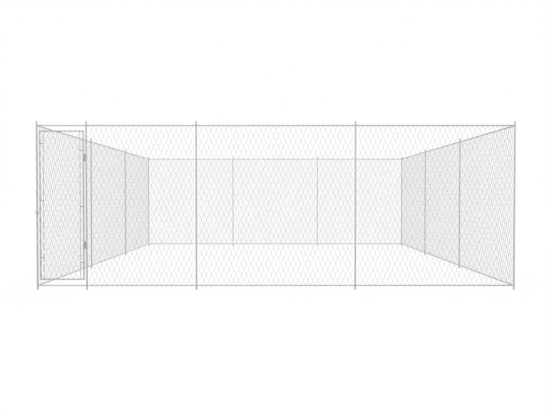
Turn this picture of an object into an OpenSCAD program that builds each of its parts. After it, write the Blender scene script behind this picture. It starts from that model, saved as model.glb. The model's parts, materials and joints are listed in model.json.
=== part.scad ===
// Outdoor dog kennel run: a square pen of round galvanised tubes and diamond nets,
// open at the top, with one narrow gate at the left end of its front wall.
// Origin on the ground at the middle of the pen, +Z up, front wall towards -Y.

/* [Pen] */
// Distance between the centres of neighbouring posts along a wall
bay_pitch = 1890; // [1500:10:2300]
// Distance between the centres of the front left corner post and the gate post
gate_bay = 587; // [500:1:800]
// Height of a post from the ground to the top of its cap
post_height = 2000; // [1700:10:2300]
// Distance of the rails' centres from the ends of the posts
rail_inset = 50; // [40:1:80]

/* [Posts] */
// Outside diameter of the posts
post_d = 20; // [18:0.5:24]
// Wall thickness of the post tube
post_wall = 1.2; // [0.8:0.1:2]
// Thickness of a cap above the post tube
cap_rim = 3; // [2:0.5:6]
// Thickness of a foot below the post tube
foot_rim = 4; // [2:0.5:8]
// Length of the plug of a cap or foot inside the post tube
plug_length = 16; // [8:1:30]

/* [Rails] */
// Outside diameter of the rails
rail_d = 16; // [12:0.5:18]
// Wall thickness of the rail tube
rail_wall = 1; // [0.8:0.1:1.6]
// Length of the pegs on the posts that carry the rails' ends
peg_length = 45; // [20:1:80]

/* [Nets] */
// Thickness of a strand
strand = 2.5; // [1.5:0.1:3]
// Width of one diamond, before whole diamonds are fitted into a bay
diamond_w = 105; // [80:1:200]
// Height of one diamond, before half diamonds are fitted between the rails
diamond_h = 224; // [160:1:400]
// Distance from a post's centre to the net's edge
net_margin = 31.5; // [20:0.5:60]

/* [Gate] */
// Outside diameter of the gate's tubes
gate_d = 16; // [12:0.5:18]
// Wall thickness of the gate's tubes
gate_wall = 1; // [0.8:0.1:1.6]
// Distance between the centres of the sill rail and the gate's bottom rail
gate_rise = 74; // [40:1:150]
// Distance between the centres of the gate's top rail and the header rail
gate_drop = 66; // [40:1:150]
// Distance between the centres of the corner post and the latch stile
latch_gap = 38; // [34:1:60]
// Distance between the centres of the hinge stile and the gate post
hinge_gap = 36; // [34:1:60]

/* [Tension bars] */
// Diameter of the bars that stretch the gate's net
bar_d = 8; // [5:0.5:10]
// Distance between the centres of a stile and its tension bar
bar_inset = 39; // [30:1:60]
// Heights of the clips on the latch stile
latch_clip_heights = [384, 1062, 1737]; // [200:1:1800]
// Heights of the clips on the hinge stile
hinge_clip_heights = [324, 990, 1654]; // [200:1:1800]
// Height of one clip along its stile
clip_h = 12; // [6:1:24]
// Thickness of a clip around the stile and the bar
clip_t = 2; // [1:0.5:3]

/* [Hinges] */
// Height of the middle of the lower hinge
lower_hinge = 533; // [420:1:900]
// Height of the middle of the upper hinge
upper_hinge = 1568; // [1200:1:1600]
// Length of a hinge along its pin
hinge_length = 84; // [60:1:120]
// Length of the gate's lug along the pin
gate_lug_length = 34; // [20:1:50]
// Gap between the hinge barrel and the tubes beside it
barrel_gap = 2; // [1:0.5:4]
// Diameter of the hinge pin
hinge_pin_d = 8; // [5:0.5:9]
// Width of the tabs that join the lugs to the tubes
tab_w = 8; // [4:0.5:12]
// Diameter of the hinge pin's heads
hinge_head_d = 12; // [10:0.5:14]
// Thickness of the hinge pin's heads
hinge_head_h = 3; // [1:0.5:6]

/* [Latch] */
// Height of the latch's middle
latch_height = 920; // [500:1:1000]
// Height of the latch's clamp along the post
clamp_h = 35; // [28:1:60]
// Thickness of the clamp's band and ears
clamp_t = 3; // [2:0.5:5]
// Width of the clamp's ears beyond its band
ear_w = 8; // [8:0.5:12]
// Gap between the ears of the clamp's two halves
ear_gap = 1; // [0.5:0.1:3]
// Diameter of the clamp's bolts
clamp_bolt_d = 5; // [4:0.5:6]
// Width across the flats of the clamp's bolt heads and nuts
clamp_bolt_flats = 8; // [7:0.5:8]
// Thickness of the clamp's bolt heads
clamp_head_h = 3.5; // [2:0.5:5]
// Thickness of the clamp's nuts
clamp_nut_h = 4; // [3:0.5:6]
// Length of a clamp bolt beyond its nut
clamp_bolt_tail = 2; // [0.5:0.5:6]
// Height of the boss in front of the clamp's band
boss_h = 4; // [2:0.5:8]
// Diameter of the boss that carries the lever
boss_d = 16; // [12:0.5:20]
// Diameter of the lever's pivot
pivot_d = 8; // [5:0.5:10]
// Diameter of the pivot's head
pivot_head_d = 14; // [12:0.5:18]
// Thickness of the pivot's head
pivot_head_h = 3; // [2:0.5:5]
// Width of the lever
lever_w = 16; // [14:0.5:24]
// Thickness of the lever
lever_t = 5; // [3:0.5:8]
// Reach of each lever arm past the latch stile's centre
lever_overlap = 9.5; // [4:0.5:20]
// Reach of the stop tongue past the latch stile's centre
tongue_overlap = 6; // [2:0.5:12]
// Height of the stop tongue
tongue_h = 6; // [4:0.5:14]
// Thickness of the stop tongue
tongue_t = 4; // [3:0.5:6]
// Width of the keeper on the latch stile
keeper_w = 12; // [8:0.5:14]
// Height of the keeper on the latch stile
keeper_h = 24; // [16:1:40]

/* [Fits] */
// Gap around a piece that seats on or in a tube
seat_gap = 0.2; // [0.1:0.05:0.3]
// Gap in front of an end or a face that rests against another piece
rest_gap = 0.3; // [0.1:0.05:0.4]
// Radial running gap of a pin in its bore
run_gap = 0.05; // [0.02:0.01:0.1]
// Gap between the closed gate and its stop and lever
stop_gap = 0.5; // [0.3:0.1:2]

/* [Hidden] */
$fn = 48;

// Bays along each wall
BAYS = 3;
// Length by which a cutting shape runs past what it cuts
CUT = 1;

STEEL = [0.70, 0.71, 0.72];
WIRE = [0.78, 0.79, 0.80];
HARDWARE = [0.58, 0.59, 0.60];
PLUG = [0.45, 0.46, 0.47];

// Main lines of the pen
half = BAYS * bay_pitch / 2;
gate_post_x = -half + gate_bay;
bottom_rail_z = rail_inset;
top_rail_z = post_height - rail_inset;
peg_d = rail_d - 2 * rail_wall - 2 * seat_gap;

// Centre lines of the gate's tubes
latch_stile_x = -half + latch_gap;
hinge_stile_x = gate_post_x - hinge_gap;
gate_low = bottom_rail_z + gate_rise;
gate_high = top_rail_z - gate_drop;
gate_tall = gate_high - gate_low;
gate_wide = hinge_stile_x - latch_stile_x;

// Outside radius of a clip's eye around a tension bar
bar_eye_r = bar_d / 2 + seat_gap + clip_t;

// The hinge barrel fills the clear gap between the hinge stile and the gate post
hinge_clear = hinge_gap - gate_d / 2 - post_d / 2;
barrel_d = hinge_clear - 2 * barrel_gap;
stile_to_pin = gate_d / 2 + hinge_clear / 2;
pin_to_post = post_d / 2 + hinge_clear / 2;
hinge_pin_x = hinge_stile_x + stile_to_pin;

// The latch's clamp, from the post's centre outwards
band_in = post_d / 2 + seat_gap;
band_out = band_in + clamp_t;
ear_reach = band_out + ear_w;
ear_face = ear_gap / 2 + clamp_t;
clamp_bolt_x = band_out + ear_w / 2;
clamp_bolt_z = -clamp_h / 4;
tongue_z = clamp_h / 4;
boss_face = band_out + boss_h;
boss_bore = boss_h + clamp_t / 2;
lever_back = boss_face + rest_gap;
lever_arm = latch_gap + lever_overlap;

WALLS = ["front", "right", "back", "left"];
CORNERS = ["front_left", "front_right", "back_right", "back_left"];
LEVELS = ["bottom", "top"];
LEVEL_Z = [bottom_rail_z, top_rail_z];

// Ends of a bay along its wall; the first front bay starts at the gate post
function bay_start(w, i) = (w == 0 && i == 1) ? gate_post_x : -half + (i - 1) * bay_pitch;
function bay_end(i) = -half + i * bay_pitch;

// Posts as name, wall and place along the wall; each wall owns its left corner post
POSTS = concat(
    [for (w = [0:3]) [str("post_", CORNERS[w]), w, -half]],
    [for (w = [0:3], i = [2:BAYS]) [str("post_", WALLS[w], "_", i), w, bay_end(i - 1)]],
    [["post_gate", 0, gate_post_x]]
);
// Rails of a wall at one level, as name, wall and height
RAILS = [for (w = [0:3], v = [0, 1]) [str(WALLS[w], "_", LEVELS[v], "_rails"), w, LEVEL_Z[v]]];
// Nets as name, wall and bay
NETS = [for (w = [0:3], i = [1:BAYS]) [str(WALLS[w], "_net_", i), w, i]];
// Hinges as name and height
HINGES = [["lower", lower_hinge], ["upper", upper_hinge]];

// Puts wall-local shapes, with X along the wall and its outside towards -Y, on wall w
module on_wall(w) {
    rotate([0, 0, 90 * w]) translate([0, -half, 0]) children();
}

// Puts shapes around the corner post's axis at the latch's height
module at_latch() {
    on_wall(0) translate([-half, 0, latch_height]) children();
}

// Round tube standing on the XY plane
module tube(d, wall, length) {
    difference() {
        cylinder(d = d, h = length);
        translate([0, 0, -CUT]) cylinder(d = d - 2 * wall, h = length + 2 * CUT);
    }
}

// Hexagonal prism along Y with two flats facing along X
module hex_y(flats, length) {
    rotate([-90, 0, 0]) rotate([0, 0, 30]) cylinder(d = flats / cos(30), h = length, $fn = 6);
}

// Cylinder along Y
module rod_y(d, length) {
    rotate([-90, 0, 0]) cylinder(d = d, h = length);
}

// Post between its foot and its cap
module post(w, x) {
    color(STEEL) on_wall(w) translate([x, 0, foot_rim])
        tube(post_d, post_wall, post_height - foot_rim - cap_rim);
}

// Rim flush with the post, with a plug that goes down into the tube
module end_plug(rim) {
    cylinder(d = post_d, h = rim);
    translate([0, 0, -plug_length])
        cylinder(d = post_d - 2 * post_wall - 2 * seat_gap, h = plug_length);
}

module post_caps() {
    color(PLUG) for (p = POSTS)
        on_wall(p[1]) translate([p[2], 0, post_height - cap_rim]) end_plug(cap_rim);
}

module post_feet() {
    color(PLUG) for (p = POSTS)
        on_wall(p[1]) translate([p[2], 0, foot_rim]) mirror([0, 0, 1]) end_plug(foot_rim);
}

// Rail between the posts at x0 and x1
module rail(x0, x1, z) {
    end_gap = post_d / 2 + rest_gap;
    translate([x0 + end_gap, 0, z]) rotate([0, 90, 0])
        tube(rail_d, rail_wall, x1 - x0 - 2 * end_gap);
}

module wall_rails(w, z) {
    color(STEEL) on_wall(w) for (i = [1:BAYS]) rail(bay_start(w, i), bay_end(i), z);
}

module gate_header_rail() {
    color(STEEL) on_wall(0) rail(-half, gate_post_x, top_rail_z);
}

module gate_sill_rail() {
    color(STEEL) on_wall(0) rail(-half, gate_post_x, bottom_rail_z);
}

// Pegs on the two posts that face each other across a bay
module peg_pair(x0, x1, z) {
    root = post_d / 2 + seat_gap;
    for (x = [x0 + root, x1 - root - peg_length])
        translate([x, 0, z]) rotate([0, 90, 0]) cylinder(d = peg_d, h = peg_length);
}

module rail_pegs() {
    color(STEEL) for (z = LEVEL_Z) {
        on_wall(0) peg_pair(-half, gate_post_x, z);
        for (w = [0:3], i = [1:BAYS]) on_wall(w) peg_pair(bay_start(w, i), bay_end(i), z);
    }
}

// One layer of slanting strands that fills a field of width w and height h.
// Strand j passes through the top edge at j * pitch and leans right on its way up.
module strand_layer(w, h, columns, half_rows) {
    pitch = w / columns;
    rise = 2 * h / half_rows;
    lean = atan(pitch / rise);
    // Heights that keep the square ends of a strand inside the level and the upright edges
    level_trim = strand / 2 * sin(lean);
    side_trim = strand / 2 * cos(lean) / tan(lean);
    for (j = [1:columns + floor(half_rows / 2)]) {
        left_z = h - j * rise;
        right_z = h + (columns - j) * rise;
        low = max(level_trim, left_z + side_trim);
        high = min(h - level_trim, right_z - side_trim);
        middle = (low + high) / 2;
        translate([j * pitch + (middle - h) * pitch / rise, 0, middle]) rotate([0, lean, 0])
            cube([strand, strand, (high - low) / cos(lean)], center = true);
    }
}

// Diamond net from x0 to x1 and from z0 to z1: two layers of strands that lean opposite ways
module net(x0, x1, z0, z1) {
    w = x1 - x0;
    h = z1 - z0;
    columns = max(1, round(w / diamond_w));
    half_rows = 2 * round(h / diamond_h - 0.5) + 1;
    layer_y = (strand + seat_gap) / 2;
    translate([x0, layer_y, z0]) strand_layer(w, h, columns, half_rows);
    translate([x1, -layer_y, z0]) mirror([1, 0, 0]) strand_layer(w, h, columns, half_rows);
}

module bay_net(w, i) {
    edge_gap = rail_d / 2 + rest_gap;
    color(WIRE) on_wall(w) net(
        bay_start(w, i) + net_margin,
        bay_end(i) - net_margin,
        bottom_rail_z + edge_gap,
        top_rail_z - edge_gap
    );
}

// Gate tube along Z whose ends are mitred at 45 degrees towards +X, with its centre line
// running from corner to corner of the frame
module mitred_tube(length) {
    shift = seat_gap / sqrt(2);
    intersection() {
        translate([0, 0, -gate_d]) tube(gate_d, gate_wall, length + 2 * gate_d);
        rotate([90, 0, 0]) linear_extrude(2 * gate_d, center = true) polygon([
            [-gate_d, shift - gate_d],
            [gate_d, shift + gate_d],
            [gate_d, length - shift - gate_d],
            [-gate_d, length - shift + gate_d]
        ]);
    }
}

module gate_latch_stile() {
    color(STEEL) on_wall(0) translate([latch_stile_x, 0, gate_low]) mitred_tube(gate_tall);
}

module gate_hinge_stile() {
    color(STEEL) on_wall(0) translate([hinge_stile_x, 0, gate_low]) mirror([1, 0, 0])
        mitred_tube(gate_tall);
}

module gate_bottom_rail() {
    color(STEEL) on_wall(0) translate([hinge_stile_x, 0, gate_low]) rotate([0, -90, 0])
        mitred_tube(gate_wide);
}

module gate_top_rail() {
    color(STEEL) on_wall(0) translate([latch_stile_x, 0, gate_high]) rotate([0, 90, 0])
        mitred_tube(gate_wide);
}

// Tension bar between the gate's bottom and top rails
module tension_bar(x) {
    end_gap = gate_d / 2 + rest_gap;
    color(STEEL) on_wall(0) translate([x, 0, gate_low + end_gap])
        cylinder(d = bar_d, h = gate_tall - 2 * end_gap);
}

module gate_latch_side_bar() {
    tension_bar(latch_stile_x + bar_inset);
}

module gate_hinge_side_bar() {
    tension_bar(hinge_stile_x - bar_inset);
}

// Flat clip with an eye around the stile at X = 0 and one around the bar at X = bar_inset
module clip() {
    stile_hole = gate_d + 2 * seat_gap;
    linear_extrude(clip_h, center = true) difference() {
        union() {
            circle(d = stile_hole + 2 * clip_t);
            translate([bar_inset, 0]) circle(r = bar_eye_r);
            translate([0, -clip_t]) square([bar_inset, 2 * clip_t]);
        }
        circle(d = stile_hole);
        translate([bar_inset, 0]) circle(r = bar_eye_r - clip_t);
    }
}

module gate_latch_side_clips() {
    color(HARDWARE) on_wall(0) for (z = latch_clip_heights)
        translate([latch_stile_x, 0, z]) clip();
}

module gate_hinge_side_clips() {
    color(HARDWARE) on_wall(0) for (z = hinge_clip_heights)
        translate([hinge_stile_x, 0, z]) mirror([1, 0, 0]) clip();
}

// Net between the clips' eyes and between the gate's rails
module gate_net() {
    edge_x = bar_inset + bar_eye_r + rest_gap;
    edge_z = gate_d / 2 + rest_gap;
    color(WIRE) on_wall(0)
        net(latch_stile_x + edge_x, hinge_stile_x - edge_x, gate_low + edge_z, gate_high - edge_z);
}

// Block on the front of the latch stile, behind the level lever
module latch_keeper() {
    face = lever_back - stop_gap;
    color(HARDWARE) at_latch() translate([latch_gap, 0, 0]) difference() {
        translate([-keeper_w / 2, -face, -keeper_h / 2]) cube([keeper_w, face, keeper_h]);
        translate([0, 0, -keeper_h]) cylinder(d = gate_d + 2 * seat_gap, h = 2 * keeper_h);
    }
}

// Hinge lug from z0 to z1: a barrel on the pin's axis with a tab that reaches to a tube
// of diameter tube_d at X = reach
module hinge_lug(reach, tube_d, z0, z1) {
    translate([0, 0, z0]) linear_extrude(z1 - z0) difference() {
        union() {
            circle(d = barrel_d);
            translate([0, -tab_w / 2]) square([reach, tab_w]);
        }
        circle(d = hinge_pin_d + 2 * run_gap);
        translate([reach, 0]) circle(d = tube_d + 2 * seat_gap);
    }
}

module hinge_post_lugs(z) {
    inner = gate_lug_length / 2 + rest_gap;
    outer = hinge_length / 2;
    color(HARDWARE) on_wall(0) translate([hinge_pin_x, 0, z]) {
        hinge_lug(pin_to_post, post_d, -outer, -inner);
        hinge_lug(pin_to_post, post_d, inner, outer);
    }
}

module hinge_gate_lug(z) {
    color(HARDWARE) on_wall(0) translate([hinge_pin_x, 0, z]) mirror([1, 0, 0])
        hinge_lug(stile_to_pin, gate_d, -gate_lug_length / 2, gate_lug_length / 2);
}

// Pin with a flat head on each end of the hinge
module hinge_pin(z) {
    color(HARDWARE) on_wall(0) translate([hinge_pin_x, 0, z]) {
        cylinder(d = hinge_pin_d, h = hinge_length, center = true);
        for (side = [0, 1]) mirror([0, 0, side])
            translate([0, 0, hinge_length / 2]) cylinder(d = hinge_head_d, h = hinge_head_h);
    }
}

// Half of the latch's clamp on the -Y side of the post: a half band with two ears
module clamp_half() {
    difference() {
        linear_extrude(clamp_h, center = true) difference() {
            union() {
                intersection() {
                    circle(r = band_out);
                    translate([-band_out, -band_out - ear_gap / 2]) square([2 * band_out, band_out]);
                }
                translate([-ear_reach, -ear_face]) square([2 * ear_reach, clamp_t]);
            }
            circle(r = band_in);
        }
        for (x = [-clamp_bolt_x, clamp_bolt_x])
            translate([x, -ear_face - CUT, clamp_bolt_z])
                rod_y(clamp_bolt_d + 2 * seat_gap, ear_face + 2 * CUT);
    }
}

// Front half with the boss and the blind bore that hold the lever's pivot
module latch_clamp_front() {
    color(HARDWARE) at_latch() difference() {
        union() {
            clamp_half();
            difference() {
                translate([0, -boss_face, 0]) rod_y(boss_d, boss_face);
                cylinder(r = band_in, h = 2 * boss_d, center = true);
            }
        }
        translate([0, -boss_face - CUT, 0]) rod_y(pivot_d + 2 * run_gap, boss_bore + CUT);
    }
}

// Back half with the tongue that stops the gate from swinging inwards
module latch_clamp_back() {
    color(HARDWARE) at_latch() {
        difference() {
            union() {
                mirror([0, 1, 0]) clamp_half();
                translate([0, gate_d / 2 + stop_gap, tongue_z - tongue_h / 2])
                    cube([latch_gap + tongue_overlap, tongue_t, tongue_h]);
            }
            cylinder(r = band_in, h = 2 * clamp_h, center = true);
        }
    }
}

// Bolt through both ears from the front, with its nut at the back
module clamp_bolt() {
    translate([0, -ear_face - clamp_head_h, 0]) {
        hex_y(clamp_bolt_flats, clamp_head_h);
        rod_y(clamp_bolt_d, clamp_head_h + 2 * ear_face + clamp_nut_h + clamp_bolt_tail);
    }
}

module clamp_nut() {
    translate([0, ear_face, 0]) difference() {
        hex_y(clamp_bolt_flats, clamp_nut_h);
        translate([0, -CUT, 0]) rod_y(clamp_bolt_d + 2 * run_gap, clamp_nut_h + 2 * CUT);
    }
}

module latch_clamp_bolts() {
    color(HARDWARE) at_latch() for (x = [-clamp_bolt_x, clamp_bolt_x])
        translate([x, 0, clamp_bolt_z]) {
            clamp_bolt();
            clamp_nut();
        }
}

// Headed pivot seated in the boss
module latch_pivot() {
    shank = boss_bore + lever_t + 2 * rest_gap;
    color(HARDWARE) at_latch() translate([0, boss_bore - boss_face - shank, 0]) {
        rod_y(pivot_d, shank);
        translate([0, -pivot_head_h, 0]) rod_y(pivot_head_d, pivot_head_h);
    }
}

// Flat turning lever with round ends, stored upright in front of the corner post
module latch_lever() {
    end_z = lever_arm - lever_w / 2;
    color(HARDWARE) at_latch() translate([0, -lever_back, 0]) rotate([90, 0, 0])
        linear_extrude(lever_t) difference() {
            union() {
                for (z = [-end_z, end_z]) translate([0, z]) circle(d = lever_w);
                square([lever_w, 2 * end_z], center = true);
            }
            circle(d = pivot_d + 2 * run_gap);
        }
}

for (p = POSTS) post(p[1], p[2]);
post_caps();
post_feet();
rail_pegs();
for (r = RAILS) wall_rails(r[1], r[2]);
gate_header_rail();
gate_sill_rail();
for (n = NETS) bay_net(n[1], n[2]);
gate_latch_stile();
gate_hinge_stile();
gate_bottom_rail();
gate_top_rail();
gate_latch_side_bar();
gate_hinge_side_bar();
gate_latch_side_clips();
gate_hinge_side_clips();
gate_net();
latch_keeper();
for (h = HINGES) {
    hinge_post_lugs(h[1]);
    hinge_gate_lug(h[1]);
    hinge_pin(h[1]);
}
latch_clamp_front();
latch_clamp_back();
latch_clamp_bolts();
latch_pivot();
latch_lever();
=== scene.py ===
"""Looks of an outdoor dog kennel run: galvanised tubes, woven chain-link and zinc-plated fittings.

Each piece is a surface worked out with numpy, in metres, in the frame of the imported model: origin on the
ground at the middle of the pen, +Z up, the front wall with the gate towards -Y. Shapes on a wall are first
laid out on that wall: X runs along it, to the right seen from outside, Y points into the pen, Z is up.
"""

import json
import logging
import math
from collections.abc import Mapping, Sequence
from dataclasses import dataclass, replace
from enum import Enum

import bpy
import numpy as np
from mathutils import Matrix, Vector


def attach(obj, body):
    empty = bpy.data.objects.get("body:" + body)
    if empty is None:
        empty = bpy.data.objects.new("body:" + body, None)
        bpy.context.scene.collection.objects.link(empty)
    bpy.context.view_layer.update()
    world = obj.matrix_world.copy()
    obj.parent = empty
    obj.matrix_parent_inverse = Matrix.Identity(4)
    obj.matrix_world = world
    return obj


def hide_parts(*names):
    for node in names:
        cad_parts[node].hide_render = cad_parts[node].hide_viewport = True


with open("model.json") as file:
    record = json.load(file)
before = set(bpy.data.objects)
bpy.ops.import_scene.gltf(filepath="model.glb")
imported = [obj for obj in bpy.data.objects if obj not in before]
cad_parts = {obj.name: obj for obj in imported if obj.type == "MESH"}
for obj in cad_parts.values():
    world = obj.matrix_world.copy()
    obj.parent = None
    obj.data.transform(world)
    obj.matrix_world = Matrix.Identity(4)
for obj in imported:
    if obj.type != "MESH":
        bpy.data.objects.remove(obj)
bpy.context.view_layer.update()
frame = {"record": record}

LOG = logging.getLogger("kennel_run")

MM = 0.001
QUARTER_TURN = math.pi / 2
HALF_TURN = math.pi
FULL_TURN = 2 * math.pi

# Points round a tube, and round smaller turned pieces
TUBE_SIDES = 32
TURNED_SIDES = 24
# Turn between neighbouring points of an arc, and of a small rounded corner, in degrees
ARC_STEP = 10.0
CORNER_STEP = 30.0
# Rings over the dome of a head, and over a rounded rim
DOME_RINGS = 5
RIM_RINGS = 4
# Angle between faces past which their edge is sharp, in degrees
SHARP_ANGLE = 40.0
# Width to which the edges of fittings are broken, and the lower edges of round heads
BROKEN_EDGE = 0.5 * MM
HEAD_EDGE = 0.3 * MM

Array = np.ndarray
# A 4 by 4 array that puts a shape in its place
Placement = np.ndarray
# Points of a flat outline, one row each
Outline = np.ndarray
# Points of one shape, as rings, points round a ring and coordinates
Rings = np.ndarray
# Points of several shapes, as shapes, rings, points round a ring and coordinates
Shapes = np.ndarray
# Radius and height of each ring of a turned shape, upwards on the outside
Profile = list[tuple[float, float]]
Colour = tuple[float, float, float]
Span = tuple[float, float]


class Wall(Enum):
    """The four walls, in the order in which quarter turns about Z bring the front wall to them."""

    FRONT = 0
    RIGHT = 1
    BACK = 2
    LEFT = 3

    @property
    def word(self) -> str:
        """The wall's name as the model's nodes spell it."""
        return self.name.lower()


class Level(Enum):
    """The two heights at which rails run."""

    BOTTOM = "bottom"
    TOP = "top"


class GateSide(Enum):
    """The two upright sides of the gate; the value is +1 where the gate lies on the side's right."""

    LATCH = 1
    HINGE = -1

    @property
    def word(self) -> str:
        """The side's name as the model's nodes spell it."""
        return self.name.lower()


def shift(x: float = 0.0, y: float = 0.0, z: float = 0.0) -> Placement:
    """Placement that moves a shape.

    Args:
        x: Step along X.
        y: Step along Y.
        z: Step along Z.

    Returns:
        The placement.
    """
    matrix = np.eye(4)
    matrix[:3, 3] = x, y, z
    return matrix


def turn(axis: str, angle: float) -> Placement:
    """Placement that turns about one axis, counter-clockwise seen from its tip.

    Args:
        axis: Letter of the axis, x, y or z.
        angle: Angle in radians.

    Returns:
        The placement.
    """
    first, second = {"x": (1, 2), "y": (2, 0), "z": (0, 1)}[axis]
    matrix = np.eye(4)
    matrix[[first, second], [first, second]] = math.cos(angle)
    matrix[second, first] = math.sin(angle)
    matrix[first, second] = -math.sin(angle)
    return matrix


def spread(rings: Rings, placements: Sequence[Placement]) -> Shapes:
    """Copies of one shape's rings at several placements.

    A mirrored copy has the points of each ring in reverse order, so its faces still point outwards.

    Args:
        rings: The shape's rings.
        placements: Placement of each copy.

    Returns:
        The rings of all copies.
    """
    matrices = np.array(placements)
    copies = np.einsum("kij,abj->kabi", matrices[:, :3, :3], rings)
    copies += matrices[:, None, None, :3, 3]
    mirrored = np.linalg.det(matrices[:, :3, :3]) < 0
    copies[mirrored] = copies[mirrored][:, :, ::-1]
    return copies


def circle(radius: float, count: int) -> Outline:
    """Points (radius cos a, radius sin a) at equal steps of the angle a, counter-clockwise."""
    angle = np.arange(count) * FULL_TURN / count
    return radius * np.column_stack([np.cos(angle), np.sin(angle)])


def arc(centre: Sequence[float], radius: float, start: float, end: float, step: float = ARC_STEP) -> Outline:
    """Points centre + (radius cos a, radius sin a) along a circular arc.

    Args:
        centre: Centre of the arc.
        radius: Radius of the arc.
        start: First angle in degrees.
        end: Last angle in degrees, less than the first where the arc runs clockwise.
        step: Turn between neighbouring points in degrees, before whole steps are fitted in.

    Returns:
        Points of the arc.
    """
    steps = max(1, round(abs(end - start) / step))
    angle = np.radians(np.linspace(start, end, steps + 1))
    return np.asarray(centre) + radius * np.column_stack([np.cos(angle), np.sin(angle)])


def rounded_rectangle(width: float, height: float, rounding: float) -> Outline:
    """Outline of a rectangle whose four corners are quarter arcs, counter-clockwise from the right.

    Args:
        width: Size along the first axis.
        height: Size along the second axis.
        rounding: Radius of the corners.

    Returns:
        The outline.
    """
    x, y = width / 2 - rounding, height / 2 - rounding
    corners = [((x, y), 0), ((-x, y), 90), ((-x, -y), 180), ((x, -y), 270)]
    return np.concatenate([arc(place, rounding, a, a + 90, CORNER_STEP) for place, a in corners])


def stadium(length: float, width: float) -> Outline:
    """Outline of a bar along Y with round ends."""
    upper = arc((0, length / 2 - width / 2), width / 2, 0, 180)
    return np.concatenate([upper, -upper])


def stem(radius: float, low: float, high: float, low_rim: float = 0.0, high_rim: float = 0.0) -> Profile:
    """Profile of a round stem, upwards, with a chamfer at each end that has a rim.

    Args:
        radius: Radius of the stem.
        low: Height of its lower end.
        high: Height of its upper end.
        low_rim: Width of the chamfer at the lower end.
        high_rim: Width of the chamfer at the upper end.

    Returns:
        The profile.
    """
    start = [(radius - low_rim, low)] if low_rim else []
    end = [(radius - high_rim, high)] if high_rim else []
    return [*start, (radius, low + low_rim), (radius, high - high_rim), *end]


def domed(radius: float, low: float, high: float, flat: float = 0.13, side: float = 0.47) -> Profile:
    """Profile of a round head, upwards: a chamfered lower edge, a straight side and a rounded top.

    The top is a quarter ellipse: at angle a its radius is flat + (1 - flat) cos a and its height is
    side + (1 - side) sin a, as shares of the head's radius and height.

    Args:
        radius: Radius of the head.
        low: Height of its underside.
        high: Height of its top.
        flat: Radius of the flat middle of the top, as a share of the head's radius.
        side: Height of the straight side, as a share of the head's height.

    Returns:
        The profile.
    """
    angle = np.linspace(0, QUARTER_TURN, DOME_RINGS)
    across = radius * (flat + (1 - flat) * np.cos(angle))
    up = low + (high - low) * (side + (1 - side) * np.sin(angle))
    return [(radius - HEAD_EDGE, low), (radius, low + HEAD_EDGE), *zip(across, up)]


def revolve(profile: Profile, count: int = TURNED_SIDES) -> Rings:
    """Rings of a profile turned about Z: point (r, h) gives the ring (r cos a, r sin a, h).

    Args:
        profile: The profile to turn.
        count: Points round a ring.

    Returns:
        The rings.
    """
    radius, height = np.array(profile).T
    flat = radius[:, None, None] * circle(1.0, count)[None]
    level = np.broadcast_to(height[:, None, None], (len(radius), count, 1))
    return np.concatenate([flat, level], axis=2)


def tube(outer: float, wall: float, length: float) -> Rings:
    """Rings round the wall of a tube that stands on Z = 0, with chamfers of a third of the wall outside.

    Args:
        outer: Outside radius.
        wall: Thickness of the wall.
        length: Length of the tube.

    Returns:
        The rings; the last one joins the first.
    """
    rim = wall / 3
    bore = [(outer - wall, length), (outer - wall, 0.0)]
    return revolve(stem(outer, 0.0, length, rim, rim) + bore, TUBE_SIDES)


def inset(outline: Outline, distance: float) -> Outline:
    """A closed outline moved inwards along its normals.

    Args:
        outline: The outline, counter-clockwise.
        distance: Distance by which each point moves.

    Returns:
        The new outline, with a point for each old one.
    """
    tangent = np.roll(outline, -1, axis=0) - np.roll(outline, 1, axis=0)
    tangent /= np.linalg.norm(tangent, axis=1, keepdims=True)
    normal = np.column_stack([tangent[:, 1], -tangent[:, 0]])
    return outline - distance * normal


def prism(outline: Outline, low: float, high: float, rim: float) -> Rings:
    """Rings of an outline carried along Z, with rounded rims at both ends.

    At angle a of a rim the outline is drawn in by rim (1 - sin a) at a height of rim (1 - cos a).

    Args:
        outline: Closed outline in X and Y, counter-clockwise.
        low: Height of the lower end.
        high: Height of the upper end.
        rim: Radius of the rims.

    Returns:
        The rings.
    """
    angle = np.linspace(0, QUARTER_TURN, RIM_RINGS)
    insets, steps = rim * (1 - np.sin(angle)), rim * (1 - np.cos(angle))
    insets = np.concatenate([insets, insets[::-1]])
    heights = np.concatenate([low + steps, (high - steps)[::-1]])
    flat = np.array([inset(outline, distance) for distance in insets])
    level = np.broadcast_to(heights[:, None, None], flat.shape[:2] + (1,))
    return np.concatenate([flat, level], axis=2)


def pierced(outline: Outline, bore: float, low: float, high: float, rim: float) -> Rings:
    """Rings of a plate with a round bore on Z: up the outside, in over the top, down the bore and out below.

    Args:
        outline: Closed outline round the origin, counter-clockwise.
        bore: Radius of the bore.
        low: Height of the lower face.
        high: Height of the upper face.
        rim: Radius of the outer rims.

    Returns:
        The rings; the last one joins the first.
    """
    outside = prism(outline, low, high, rim)
    hole = bore * outline / np.linalg.norm(outline, axis=1, keepdims=True)
    ends = [np.column_stack([hole, np.full(len(hole), height)]) for height in (high, low)]
    return np.concatenate([outside, np.array(ends)])


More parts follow.
